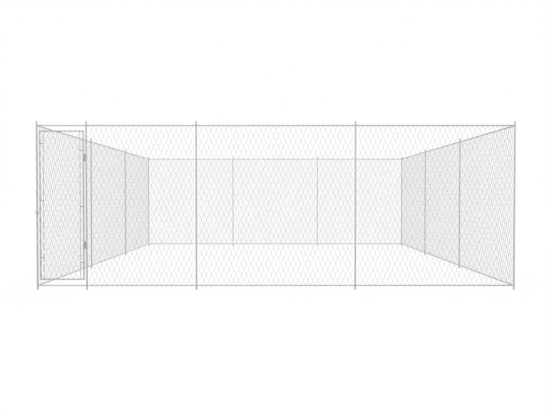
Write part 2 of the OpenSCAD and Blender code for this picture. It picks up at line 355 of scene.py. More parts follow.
def carry(section: Array, paths: Array, reference: Sequence[float], looped: bool = False) -> Shapes:
    """Rings of a flat section carried along paths.

    At a point with tangent t, the section's first axis is the part of the reference square to t, and its
    second axis is t crossed with the first.

    Args:
        section: Section outline in its own two axes, counter-clockwise; one for all rings, or one a ring.
        paths: Points as paths, points along a path and coordinates.
        reference: Direction that is nowhere along a path.
        looped: Whether the paths are closed.

    Returns:
        The rings of all paths.
    """
    if looped:
        tangent = np.roll(paths, -1, axis=1) - np.roll(paths, 1, axis=1)
    else:
        tangent = np.gradient(paths, axis=1)
    tangent /= np.linalg.norm(tangent, axis=2, keepdims=True)
    along = np.asarray(reference, float)
    first = along - (tangent @ along)[..., None] * tangent
    first /= np.linalg.norm(first, axis=2, keepdims=True)
    second = np.cross(tangent, first)
    across, up = section[..., 0, None], section[..., 1, None]
    return paths[:, :, None] + across * first[:, :, None] + up * second[:, :, None]


@dataclass
class Surface:
    """Faces over numbered points, with a place on a flat map for each corner of a face.

    Attributes:
        points: Places of the points, one row each.
        faces: Blocks of faces; each block holds the point numbers of faces with equally many corners.
        places: Map places of the same corners, block by block.
        sharp: Angle between faces past which their edge is sharp, in degrees.
    """

    points: Array
    faces: list[Array]
    places: list[Array]
    sharp: float = SHARP_ANGLE

    # Share of the map's height that an end face's cell takes, and the face's radius as a share of its cell
    END_SHARE = 0.05
    END_RADIUS = 0.45

    @classmethod
    def skin(cls, rings: Shapes, looped: bool = False, sharp: float = SHARP_ANGLE) -> "Surface":
        """Closed skin over rings: quads join each ring to the next, and flat faces close open ends.

        On the map each shape has its own column, with the way round a ring across it and the way along
        the rings up it.

        Args:
            rings: The rings of all shapes.
            looped: Whether the last ring joins the first, so that there are no ends.
            sharp: Angle between faces past which their edge is sharp, in degrees.

        Returns:
            The surface.
        """
        shapes, rows, columns, _ = rings.shape
        every = np.arange(shapes * rows * columns).reshape(shapes, rows, columns)
        number, following = every, np.roll(every, -1, axis=1)
        if not looped:
            number, following = number[:, :-1], following[:, :-1]
        beside = [np.roll(block, -1, axis=2) for block in (number, following)]
        quads = np.stack([number, beside[0], beside[1], following], axis=-1)

        steps = np.linalg.norm(np.roll(rings, -1, axis=1) - rings, axis=3).mean(axis=(0, 2))
        steps = steps[: quads.shape[1]]
        height = np.concatenate([[0.0], np.cumsum(steps)]) / steps.sum()
        height = cls.END_SHARE + (1 - 2 * cls.END_SHARE) * height
        left = (np.arange(shapes)[:, None] + np.arange(columns)[None] / columns) / shapes
        right = left + 1 / (shapes * columns)
        left, right = (np.broadcast_to(x[:, None], quads.shape[:3]) for x in (left, right))
        low, high = (np.broadcast_to(y[None, :, None], quads.shape[:3]) for y in (height[:-1], height[1:]))
        corners = np.stack([left, low, right, low, right, high, left, high], axis=-1)
        faces, places = [quads.reshape(-1, 4)], [corners.reshape(-1, 4, 2)]

        if not looped:
            ends = np.stack([every[:, 0, ::-1], every[:, -1]], axis=1)
            disc = circle(cls.END_RADIUS, columns)[None, None] * (1 / shapes, cls.END_SHARE)
            across = (np.arange(shapes) + 0.5) / shapes
            up = np.array([cls.END_SHARE / 2, 1 - cls.END_SHARE / 2])
            middle = np.stack(np.meshgrid(across, up, indexing="ij"), axis=-1)
            faces.append(ends.reshape(-1, columns))
            places.append((disc + middle[:, :, None]).reshape(-1, columns, 2))
        return cls(rings.reshape(-1, 3), faces, places, sharp)

    @classmethod
    def join(cls, *parts: "Surface") -> "Surface":
        """One surface of several parts, which share the map in columns of equal width.

        Args:
            *parts: The parts.

        Returns:
            The surface.
        """
        firsts = np.cumsum([0] + [len(part.points) for part in parts])
        faces = [block + first for part, first in zip(parts, firsts) for block in part.faces]
        places = [
            (block + (number, 0.0)) / (len(parts), 1.0)
            for number, part in enumerate(parts)
            for block in part.places
        ]
        return cls(np.concatenate([part.points for part in parts]), faces, places)

    def placed(self, placement: Placement) -> "Surface":
        """The surface at a placement that doesn't mirror it."""
        points = self.points @ placement[:3, :3].T + placement[:3, 3]
        return replace(self, points=points)

    def mesh(self, name: str) -> bpy.types.Mesh:
        """The surface as a mesh, smooth but for its sharp edges.

        Args:
            name: Name of the mesh.

        Returns:
            The mesh, with the map as its UV layer.
        """
        corners = np.concatenate([block.ravel() for block in self.faces])
        counts = np.concatenate([np.full(len(block), block.shape[1]) for block in self.faces])
        places = np.concatenate([block.reshape(-1, 2) for block in self.places])
        mesh = bpy.data.meshes.new(name)
        mesh.vertices.add(len(self.points))
        mesh.vertices.foreach_set("co", self.points.astype(np.float32).ravel())
        mesh.loops.add(len(corners))
        mesh.loops.foreach_set("vertex_index", corners.astype(np.int32))
        mesh.polygons.add(len(counts))
        mesh.polygons.foreach_set("loop_start", (np.cumsum(counts) - counts).astype(np.int32))
        mesh.update(calc_edges=True)
        layer = mesh.uv_layers.new(name="OFBake")
        layer.uv.foreach_set("vector", places.astype(np.float32).ravel())
        mesh.polygons.foreach_set("use_smooth", np.ones(len(counts), bool))
        mesh.set_sharp_from_angle(angle=math.radians(self.sharp))
        return mesh


class Value:
    """One socket of a material's nodes, whose maths is written as expressions."""

    def __init__(self, sheet: "NodeSheet", socket: bpy.types.NodeSocket) -> None:
        """Keeps the sheet of nodes and the socket."""
        self.sheet = sheet
        self.socket = socket

    def maths(self, operation: str, *terms: "Value | float") -> "Value":
        """Adds a Math node that works on the terms in their order."""
        return self.sheet.add("ShaderNodeMath", {"operation": operation}, dict(enumerate(terms)))

    def __add__(self, other: "Value | float") -> "Value":
        """self + other."""
        return self.maths("ADD", self, other)

    def __radd__(self, other: float) -> "Value":
        """other + self."""
        return self.maths("ADD", other, self)

    def __sub__(self, other: "Value | float") -> "Value":
        """self - other."""
        return self.maths("SUBTRACT", self, other)

    def __rsub__(self, other: float) -> "Value":
        """other - self."""
        return self.maths("SUBTRACT", other, self)

    def __mul__(self, other: "Value | float") -> "Value":
        """self * other."""
        return self.maths("MULTIPLY", self, other)

    def __rmul__(self, other: float) -> "Value":
        """other * self."""
        return self.maths("MULTIPLY", other, self)


class NodeSheet:
    """The nodes of one material, from its coordinates to its output."""

    # How strongly each finer octave of noise shows
    NOISE_ROUGHNESS = 0.6
    # How far neighbouring crystals run into each other
    CRYSTAL_SOFTNESS = 0.35

    def __init__(self, name: str) -> None:
        """Starts a material with no nodes.

        Args:
            name: Name of the material.
        """
        self.material = bpy.data.materials.new(name)
        self.material.use_nodes = True
        self.tree = self.material.node_tree
        self.tree.nodes.clear()

    def add(
        self,
        kind: str,
        settings: Mapping[str, object] | None = None,
        inputs: Mapping[int | str, object] | None = None,
        output: int | str = 0,
    ) -> Value:
        """Adds one node of any type.

        Args:
            kind: The node's type.
            settings: Its settings, which are set first; stops are a colour ramp's places and greys.
            inputs: Values or links of its sockets, by name or number.
            output: Name or number of the socket to return.

        Returns:
            That output.
        """
        node = self.tree.nodes.new(kind)
        for key, setting in (settings or {}).items():
            if key == "stops":
                self.set_stops(node.color_ramp, setting)
            else:
                setattr(node, key, setting)
        for key, value in (inputs or {}).items():
            if isinstance(value, Value):
                self.tree.links.new(value.socket, node.inputs[key])
            else:
                node.inputs[key].default_value = value
        return Value(self, node.outputs[output])

    @staticmethod
    def set_stops(ramp: bpy.types.ColorRamp, stops: Sequence[tuple[float, float]]) -> None:
        """Gives a ramp its stops.

        Args:
            ramp: The ramp.
            stops: Place and grey of each stop.
        """
        while len(ramp.elements) < len(stops):
            ramp.elements.new(1.0)
        for element, (place, grey) in zip(ramp.elements, stops):
            element.position = place
            element.color = (grey, grey, grey, 1.0)

    def coordinates(self, stretch: Sequence[float] = (1.0, 1.0, 1.0)) -> Value:
        """Object coordinates in metres, stretched along the axes."""
        place = self.add("ShaderNodeTexCoord", output="Object")
        return self.add("ShaderNodeMapping", {}, {"Vector": place, "Scale": stretch})

    def noise(self, place: Value, size: float, detail: float = 2.0) -> Value:
        """Cloudy noise from 0 to 1, whose lumps are about that size in metres."""
        inputs = {"Vector": place, "Scale": 1 / size, "Detail": detail, "Roughness": self.NOISE_ROUGHNESS}
        return self.add("ShaderNodeTexNoise", {}, inputs, "Fac")

    def crystals(self, place: Value, size: float) -> Value:
        """A grey for each soft-edged cell of an uneven mosaic.

        Args:
            place: Coordinates in metres.
            size: Rough width of a cell in metres.

        Returns:
            The grey, from 0 to 1.
        """
        inputs = {"Vector": place, "Scale": 1 / size, "Smoothness": self.CRYSTAL_SOFTNESS}
        tint = self.add("ShaderNodeTexVoronoi", {"feature": "SMOOTH_F1"}, inputs, "Color")
        return self.add("ShaderNodeSeparateColor", {}, {"Color": tint}, "Red")

    def ramp(self, value: Value, *stops: tuple[float, float]) -> Value:
        """A grey ramp over a value from 0 to 1."""
        return self.add("ShaderNodeValToRGB", {"stops": stops}, {"Fac": value}, "Color")

    def mix(self, share: Value, first: Colour, second: Colour) -> Value:
        """A colour between two others.

        Args:
            share: Share of the second colour, from 0 to 1.
            first: Colour at share 0.
            second: Colour at share 1.

        Returns:
            The colour.
        """
        settings = {"data_type": "RGBA", "clamp_factor": True}
        # Of the node's sockets, inputs 6 and 7 and output 2 are those for colours
        inputs = {0: share, 6: (*first, 1.0), 7: (*second, 1.0)}
        return self.add("ShaderNodeMix", settings, inputs, 2)

    def bump(self, height: Value, depth: float, strength: float) -> Value:
        """A normal for a relief of that depth in metres."""
        return self.add("ShaderNodeBump", {}, {"Height": height, "Distance": depth, "Strength": strength})

    def finish(self, **inputs: object) -> bpy.types.Material:
        """Ends the sheet in a Principled shader.

        Args:
            **inputs: The shader's sockets, with underscores for spaces.

        Returns:
            The material.
        """
        sockets = {key.replace("_", " "): value for key, value in inputs.items()}
        shader = self.add("ShaderNodeBsdfPrincipled", {}, sockets)
        target = self.tree.nodes.new("ShaderNodeOutputMaterial")
        self.tree.links.new(shader.socket, target.inputs["Surface"])
        return self.material


@dataclass(frozen=True)
class Galvanised:
    """Zinc on steel: flat crystals of slightly different greys under a dull, cloudy bloom.

    Attributes:
        name: Name of the material.
        slot: The record's slot that the finish belongs to; not used.
        dark: Colour of the darkest crystals.
        light: Colour of the lightest crystals.
        crystal: Width of a crystal in metres.
        bloom: Width of a cloud of the bloom in metres.
        roughness: Least roughness.
        relief: Depth of the surface's grain in metres.
    """

    name: str
    slot: str
    dark: Colour
    light: Colour
    crystal: float
    bloom: float
    roughness: float
    relief: float

    # Grains across a crystal
    GRAINS = 12
    # Shares of the crystals, the bloom and the grain in the tone, and what is taken off it
    CRYSTAL_TONE = 0.55
    BLOOM_TONE = 0.6
    GRAIN_TONE = 0.15
    TONE_CUT = 0.15
    # Shares of the bloom and the crystals in the roughness
    BLOOM_ROUGHNESS = 0.14
    CRYSTAL_ROUGHNESS = 0.08
    # Shares of the grain and the crystals in the relief, and how strongly it shows
    GRAIN_RELIEF = 0.7
    CRYSTAL_RELIEF = 0.3
    RELIEF_STRENGTH = 0.6

    def material(self) -> bpy.types.Material:
        """The finish as a material.

        Returns:
            The material.
        """
        sheet = NodeSheet(self.name)
        place = sheet.coordinates()
        mosaic = sheet.crystals(place, self.crystal)
        cloud = sheet.noise(place, self.bloom, detail=3.0)
        grain = sheet.noise(place, self.crystal / self.GRAINS)
        tone = self.CRYSTAL_TONE * mosaic + self.BLOOM_TONE * cloud + self.GRAIN_TONE * grain - self.TONE_CUT
        relief = self.GRAIN_RELIEF * grain + self.CRYSTAL_RELIEF * mosaic
        return sheet.finish(
            Base_Color=sheet.mix(tone, self.dark, self.light),
            Roughness=self.roughness + self.BLOOM_ROUGHNESS * cloud + self.CRYSTAL_ROUGHNESS * mosaic,
            Metallic=1.0,
            Normal=sheet.bump(relief, self.relief, self.RELIEF_STRENGTH),
        )


@dataclass(frozen=True)
class ZincPlate:
    """Plated fittings: a fine grey with handling marks and soft clouds of grime.

    Attributes:
        name: Name of the material.
        slot: The record's slot that the finish belongs to; not used.
        dark: Colour of the grime.
        light: Colour of the clean plate.
        mark: Length of a handling mark in metres.
        roughness: Least roughness.
        relief: Depth of the cast grain in metres.
    """

    name: str
    slot: str
    dark: Colour
    light: Colour
    mark: float
    roughness: float
    relief: float

    # Where the plate turns from grimy to clean, over cloudy noise
    GRIME_STOPS = ((0.3, 0.0), (0.75, 1.0))
    # Scale by which rubbed streaks are drawn out along Z
    RUB_STRETCH = (1.0, 1.0, 0.12)
    # Streaks across a mark
    RUBS = 8
    # Grains across a mark
    GRAINS = 20
    # Shares of the clean plate and the streaks in the tone
    CLEAN_TONE = 0.7
    RUB_TONE = 0.3
    # Share of the streaks in the roughness
    RUB_ROUGHNESS = 0.2
    # Shares of the grain and the streaks in the relief, and how strongly it shows
    GRAIN_RELIEF = 0.5
    RUB_RELIEF = 0.5
    RELIEF_STRENGTH = 0.5

    def material(self) -> bpy.types.Material:
        """The finish as a material.

        Returns:
            The material.
        """
        sheet = NodeSheet(self.name)
        place = sheet.coordinates()
        clean = sheet.ramp(sheet.noise(place, self.mark), *self.GRIME_STOPS)
        rubbed = sheet.noise(sheet.coordinates(self.RUB_STRETCH), self.mark / self.RUBS, detail=4.0)
        grain = sheet.noise(place, self.mark / self.GRAINS)
        relief = self.GRAIN_RELIEF * grain + self.RUB_RELIEF * rubbed
        return sheet.finish(
            Base_Color=sheet.mix(self.CLEAN_TONE * clean + self.RUB_TONE * rubbed, self.dark, self.light),
            Roughness=self.roughness + self.RUB_ROUGHNESS * rubbed,
            Metallic=1.0,
            Normal=sheet.bump(relief, self.relief, self.RELIEF_STRENGTH),
        )


@dataclass(frozen=True)
class MouldedPlastic:
    """Grey moulded plastic with a fine eroded texture and faint dust.

    Attributes:
        name: Name of the material.
        slot: The record's slot that the finish belongs to; not used.
        dark: Colour of the plastic.
        light: Colour where dust lies on it.
        texture: Width of the texture's grains in metres.
        roughness: Least roughness.
    """

    name: str
    slot: str
    dark: Colour
    light: Colour
    texture: float
    roughness: float

    # Grains across a cloud of dust, and a grain's width over its depth
    CLOUD_GRAINS = 12
    GRAIN_RATIO = 8
    # Shares of the dust and the grains in the tone
    DUST_TONE = 0.5
    GRAIN_TONE = 0.3
    # Share of the dust in the roughness, and how strongly the relief shows
    DUST_ROUGHNESS = 0.2
    RELIEF_STRENGTH = 0.4

    def material(self) -> bpy.types.Material:
        """The finish as a material.

        Returns:
            The material.
        """
        sheet = NodeSheet(self.name)
        place = sheet.coordinates()
        grain = sheet.noise(place, self.texture)
        dust = sheet.noise(place, self.CLOUD_GRAINS * self.texture, detail=3.0)
        tone = self.DUST_TONE * dust + self.GRAIN_TONE * grain
        return sheet.finish(
            Base_Color=sheet.mix(tone, self.dark, self.light),
            Roughness=self.roughness + self.DUST_ROUGHNESS * dust,
            Normal=sheet.bump(grain, self.texture / self.GRAIN_RATIO, self.RELIEF_STRENGTH),
        )


@dataclass(frozen=True)
class PaleFloor:
    """Plain pale floor, lit from within like a light table so that thin shadows don't grey it.

    Attributes:
        name: Name of the material.
        colour: Colour of the floor.
        glow: Strength of its own white light.
        roughness: Roughness of the floor.
    """

    name: str
    colour: Colour
    glow: float
    roughness: float = 0.9

    def material(self) -> bpy.types.Material:
        """The finish as a material.

        Returns:
            The material.
        """
        return NodeSheet(self.name).finish(
            Base_Color=(*self.colour, 1.0),
            Roughness=self.roughness,
            Specular_IOR_Level=0.0,
            Emission_Color=(1.0, 1.0, 1.0, 1.0),
            Emission_Strength=self.glow,
        )


Finish = Galvanised | ZincPlate | MouldedPlastic

TUBE_ZINC = Galvanised(
    name="galvanised_tube",
    slot="galvanised_tube",
    dark=(0.37, 0.37, 0.37),
    light=(0.53, 0.53, 0.53),
    crystal=4.5 * MM,
    bloom=70 * MM,
    roughness=0.34,
    relief=0.05 * MM,
)
WIRE_ZINC = Galvanised(
    name="galvanised_wire",
    slot="galvanised_wire",
    dark=(0.30, 0.30, 0.30),
    light=(0.46, 0.46, 0.46),
    crystal=14 * MM,
    bloom=90 * MM,
    roughness=0.36,
    relief=0.02 * MM,
)
FITTING_ZINC = ZincPlate(
    name="zinc_fittings",
    slot="zinc_hardware",
    dark=(0.30, 0.30, 0.30),
    light=(0.49, 0.49, 0.49),
    mark=14 * MM,
    roughness=0.34,
    relief=0.06 * MM,
)
# A lighter copy of the fittings' zinc plate, for the latch: its greys are raised to paint light over the
# shade that falls in the latch's crevices and between its parts.
LATCH_ZINC_PAINTED_LIGHT = ZincPlate(
    name="bright_zinc",
    slot="zinc_hardware",
    dark=(0.48, 0.48, 0.48),
    light=(0.72, 0.72, 0.72),
    mark=18 * MM,
    roughness=0.28,
    relief=0.04 * MM,
)
PLUG_PLASTIC = MouldedPlastic(
    name="plug_plastic",
    slot="end_plug",
    dark=(0.20, 0.205, 0.21),
    light=(0.36, 0.36, 0.355),
    texture=0.7 * MM,
    roughness=0.45,
)
FLOOR = PaleFloor(name="pale_floor", colour=(0.08, 0.08, 0.08), glow=0.886)


class Workshop:
    """Turns surfaces into pieces of the object, with a finish, a body and the nodes they stand for."""

    def __init__(self) -> None:
        """Reads the bodies' nodes from the record."""
        bodies = frame["record"]["behaviour"]["bodies"]
        self.body_of = {node: body for body, nodes in bodies.items() for node in nodes}
        self.materials: dict[str, bpy.types.Material] = {}

    def material(self, finish: Finish) -> bpy.types.Material:
        """The material of a finish, made once.

        Args:
            finish: The finish.

        Returns:
            Its material.
        """
        if finish.name not in self.materials:
            self.materials[finish.name] = finish.material()
        return self.materials[finish.name]

    def make(self, name: str, surface: Surface, finish: Finish, *nodes: str, body: str = "") -> None:
        """Adds one piece.

        Args:
            name: Name of the piece.
            surface: Its shape, in place.
            finish: Its finish.
            *nodes: The nodes that it stands for.
            body: The body that it rides on, if it stands for no node.
        """
        piece = bpy.data.objects.new(name, surface.mesh(name))
        bpy.context.scene.collection.objects.link(piece)
        piece.data.materials.append(self.material(finish))
        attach(piece, body or self.body_of[nodes[0]])
        if nodes:
            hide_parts(*nodes)
        LOG.info("%s: %d points, %s", name, len(surface.points), finish.name)


@dataclass(frozen=True)
class Weld:
    """A bead of weld, which swells with each drop of metal.

    Attributes:
        radius: Radius of the bead.
        ripple: Share of the radius by which it rises and falls.
        sides: Points round the bead.
    """

    radius: float = 1.1 * MM
    ripple: float = 0.16
    sides: int = 10

    def sections(self, wave: Array, fade: Array | float = 1.0) -> Array:
        """Round sections along a bead, of radius times fade (1 + ripple wave)."""
        swell = self.radius * fade * (1 + self.ripple * wave)
        return swell[:, None, None] * circle(1.0, self.sides)


@dataclass(frozen=True)
class Pen:
    """Main lines of the pen, from which every other place follows.

    Attributes:
        bays: Bays along a wall.
        bay_pitch: Distance between the centres of neighbouring posts.
        gate_bay: Distance between the centres of the front left corner post and the gate post.
        post_height: Height of a post from the ground to the top of its cap.
        rail_inset: Distance of the rails' centres from the ends of the posts.
        post_radius: Outside radius of the posts.
        rail_radius: Outside radius of the rails.
        rest_gap: Gap in front of an end that rests against another piece.
    """

    bays: int = 3
    bay_pitch: float = 1890 * MM
    gate_bay: float = 587 * MM
    post_height: float = 2000 * MM
    rail_inset: float = 50 * MM
    post_radius: float = 10 * MM
    rail_radius: float = 8 * MM
    rest_gap: float = 0.3 * MM

    @property
    def half(self) -> float:
        """Distance from the middle of the pen to a wall."""
        return self.bays * self.bay_pitch / 2

    @property
    def gate_post(self) -> float:
        """Place of the gate post along the front wall."""
        return self.gate_bay - self.half

    @property
    def gate_ends(self) -> Span:
        """Centres of the posts on either side of the gate."""
        return -self.half, self.gate_post

    def rail_height(self, level: Level) -> float:
        """Height of the rails' centres at a level."""
        return self.rail_inset if level is Level.BOTTOM else self.post_height - self.rail_inset

    def on_wall(self, wall: Wall) -> Placement:
        """Placement that puts a shape laid out on a wall onto it."""
        return turn("z", wall.value * QUARTER_TURN) @ shift(y=-self.half)

    def bay_ends(self, wall: Wall) -> list[Span]:
        """Centres of the posts on either side of each netted bay.

        Args:
            wall: The wall.

        Returns:
            Left and right post of each bay, from the left.
        """
        posts = [number * self.bay_pitch - self.half for number in range(self.bays + 1)]
        if wall is Wall.FRONT:
            posts[0] = self.gate_post
        return list(zip(posts[:-1], posts[1:]))

    def post_places(self) -> dict[str, Placement]:
        """Where the posts stand on the ground.

        Returns:
            Placement of each post's foot, by the name of the post's node.
        """
        corners = ("front_left", "front_right", "back_right", "back_left")
        places = {
            f"post_{corner}": self.on_wall(wall) @ shift(-self.half)
            for corner, wall in zip(corners, Wall)
        }
        for wall in Wall:
            for number in range(2, self.bays + 1):
                along = (number - 1) * self.bay_pitch - self.half
                places[f"post_{wall.word}_{number}"] = self.on_wall(wall) @ shift(along)
        places["post_gate"] = self.on_wall(Wall.FRONT) @ shift(self.gate_post)
        return places


@dataclass(frozen=True)
class Posts:
    """Upright tubes with a domed cap and a foot.

    Attributes:
        pen: The pen's main lines.
        wall: Thickness of the tube's wall.
        cap_rim: Height of a cap above its tube.
        foot_rim: Height of a foot below its tube.
        foot_flat: Radius of the flat of a foot on the ground, as a share of its radius.
        foot_side: Height of a foot's straight side, as a share of its height.
        plug_length: Length of a plug inside its tube.
        plug_radius: Radius of a plug.
        plug_tip: Width of the chamfer on a plug's tip.
    """

    pen: Pen
    wall: float = 1.2 * MM
    cap_rim: float = 3 * MM
    foot_rim: float = 4 * MM
    foot_flat: float = 0.9
    foot_side: float = 0.72
    plug_length: float = 16 * MM
    plug_radius: float = 8.6 * MM
    plug_tip: float = 1.5 * MM

    def plug(self) -> Profile:
        """Profile of a plug below Z = 0."""
        return stem(self.plug_radius, -self.plug_length, 0.0, low_rim=self.plug_tip)

    def cap(self) -> Rings:
        """Cap with the underside of its domed rim on Z = 0."""
        return revolve(self.plug() + domed(self.pen.post_radius, 0.0, self.cap_rim))

    def foot(self) -> Rings:
        """Foot upside down, with the ground at Z = foot_rim and a round edge there."""
        rim = domed(self.pen.post_radius, 0.0, self.foot_rim, self.foot_flat, self.foot_side)
        return revolve(self.plug() + rim)

    def build(self, shop: Workshop) -> None:
        """Makes the posts, each by itself, and their caps and feet.

        Args:
            shop: The workshop.
        """
        places = self.pen.post_places()
        length = self.pen.post_height - self.foot_rim - self.cap_rim
        body = tube(self.pen.post_radius, self.wall, length)
        for node, place in places.items():
            surface = Surface.skin(spread(body, [place @ shift(z=self.foot_rim)]), looped=True)
            shop.make(f"{node}_tube", surface, TUBE_ZINC, node)
        top = self.pen.post_height - self.cap_rim
        caps = spread(self.cap(), [place @ shift(z=top) for place in places.values()])
        shop.make("caps_moulded", Surface.skin(caps), PLUG_PLASTIC, "post_caps")
        upside_down = shift(z=self.foot_rim) @ turn("x", HALF_TURN)
        feet = spread(self.foot(), [place @ upside_down for place in places.values()])
        shop.make("feet_moulded", Surface.skin(feet), PLUG_PLASTIC, "post_feet")


@dataclass(frozen=True)
class Rails:
    """Level tubes between the posts, the pegs that carry their ends and the screws that hold them.

    Attributes:
        pen: The pen's main lines.
        wall: Thickness of the tube's wall.
        peg_radius: Radius of a peg.
        peg_length: Length of a peg.
        peg_gap: Gap between a peg's root and its post.
        peg_tip: Width of the chamfer on a peg's tip.
        screw_radius: Radius of a screw's head.
        screw_height: Height of a screw's head above its rail.
        screw_sink: Depth by which a head's rim reaches down round its rail.
        screw_flat: Radius of the flat of a head, as a share of its radius.
        screw_sides: Points round a head.
        screw_place: Distance of a screw from the end of its rail.
        drive_radius: Radius of the drive in a head.
        drive_tip: Radius of the drive's floor.
        drive_depth: Depth of the drive.
    """

    pen: Pen
    wall: float = 1 * MM
    peg_radius: float = 6.8 * MM
    peg_length: float = 45 * MM
    peg_gap: float = 0.2 * MM
    peg_tip: float = 1.5 * MM
    screw_radius: float = 3.2 * MM
    screw_height: float = 1.9 * MM
    screw_sink: float = 0.7 * MM
    screw_flat: float = 0.45
    screw_sides: int = 12
    screw_place: float = 11 * MM
    drive_radius: float = 1.1 * MM
    drive_tip: float = 0.7 * MM
    drive_depth: float = 0.9 * MM

    def rails(self, wall: Wall, ends: Sequence[Span], level: Level) -> Surface:
        """Rails of one level on a wall.

        Args:
            wall: The wall.
            ends: Centres of the posts on either side of each rail.
            level: The level.

        Returns:
            The rails, in place.
        """
        gap = self.pen.post_radius + self.pen.rest_gap
        lying = shift(z=self.pen.rail_height(level)) @ turn("y", QUARTER_TURN)
        bodies = [tube(self.pen.rail_radius, self.wall, end - start - 2 * gap) for start, end in ends]
        places = [self.pen.on_wall(wall) @ shift(start + gap) @ lying for start, _ in ends]
        copies = [spread(body, [place]) for body, place in zip(bodies, places)]
        return Surface.skin(np.concatenate(copies), looped=True)

    def rail_ends(self) -> list[Placement]:
        """Where rails end at the posts' surfaces.

        Returns:
            Placements with Z pointing along the rail.
        """
        bays = [(wall, ends) for wall in Wall for ends in self.pen.bay_ends(wall)]
        bays.append((Wall.FRONT, self.pen.gate_ends))
        places = []
        for level in Level:
            height = self.pen.rail_height(level)
            for wall, (start, end) in bays:
                for post, way in ((start, 1), (end, -1)):
                    root = shift(post + way * self.pen.post_radius, 0, height)
                    places.append(self.pen.on_wall(wall) @ root @ turn("y", way * QUARTER_TURN))
        return places

    def peg(self) -> Rings:
        """Peg along Z with a chamfered tip."""
        tip = self.peg_gap + self.peg_length
        return revolve(stem(self.peg_radius, self.peg_gap, tip, high_rim=self.peg_tip))

    def screw(self) -> Rings:
        """Pan head along Z, from its rim over its crown down into a shallow drive.

        Returns:
            The rings.
        """
        crown = domed(self.screw_radius, -self.screw_sink, self.screw_height, self.screw_flat)
        floor = self.screw_height - self.drive_depth
        drive = [(self.drive_radius, self.screw_height), (self.drive_tip, floor)]
        return revolve(crown + drive, self.screw_sides)

    def build(self, shop: Workshop) -> None:
        """Makes the rails wall by wall, then the pegs, and the screws on the side inside the pen.

        Args:
            shop: The workshop.
        """
        for wall in Wall:
            for level in Level:
                node = f"{wall.word}_{level.value}_rails"
                shop.make(f"{node}_tubes", self.rails(wall, self.pen.bay_ends(wall), level), TUBE_ZINC, node)
        for node, level in (("gate_sill_rail", Level.BOTTOM), ("gate_header_rail", Level.TOP)):
            shop.make(f"{node}_tube", self.rails(Wall.FRONT, [self.pen.gate_ends], level), TUBE_ZINC, node)
        ends = self.rail_ends()
        shop.make("rail_pegs_turned", Surface.skin(spread(self.peg(), ends)), TUBE_ZINC, "rail_pegs")
        onto_rail = shift(0, self.pen.rail_radius, self.pen.rest_gap + self.screw_place)
        inwards = onto_rail @ turn("x", -QUARTER_TURN)
        heads = spread(self.screw(), [end @ inwards for end in ends])
        shop.make("rail_screws", Surface.skin(heads), FITTING_ZINC, body="frame")


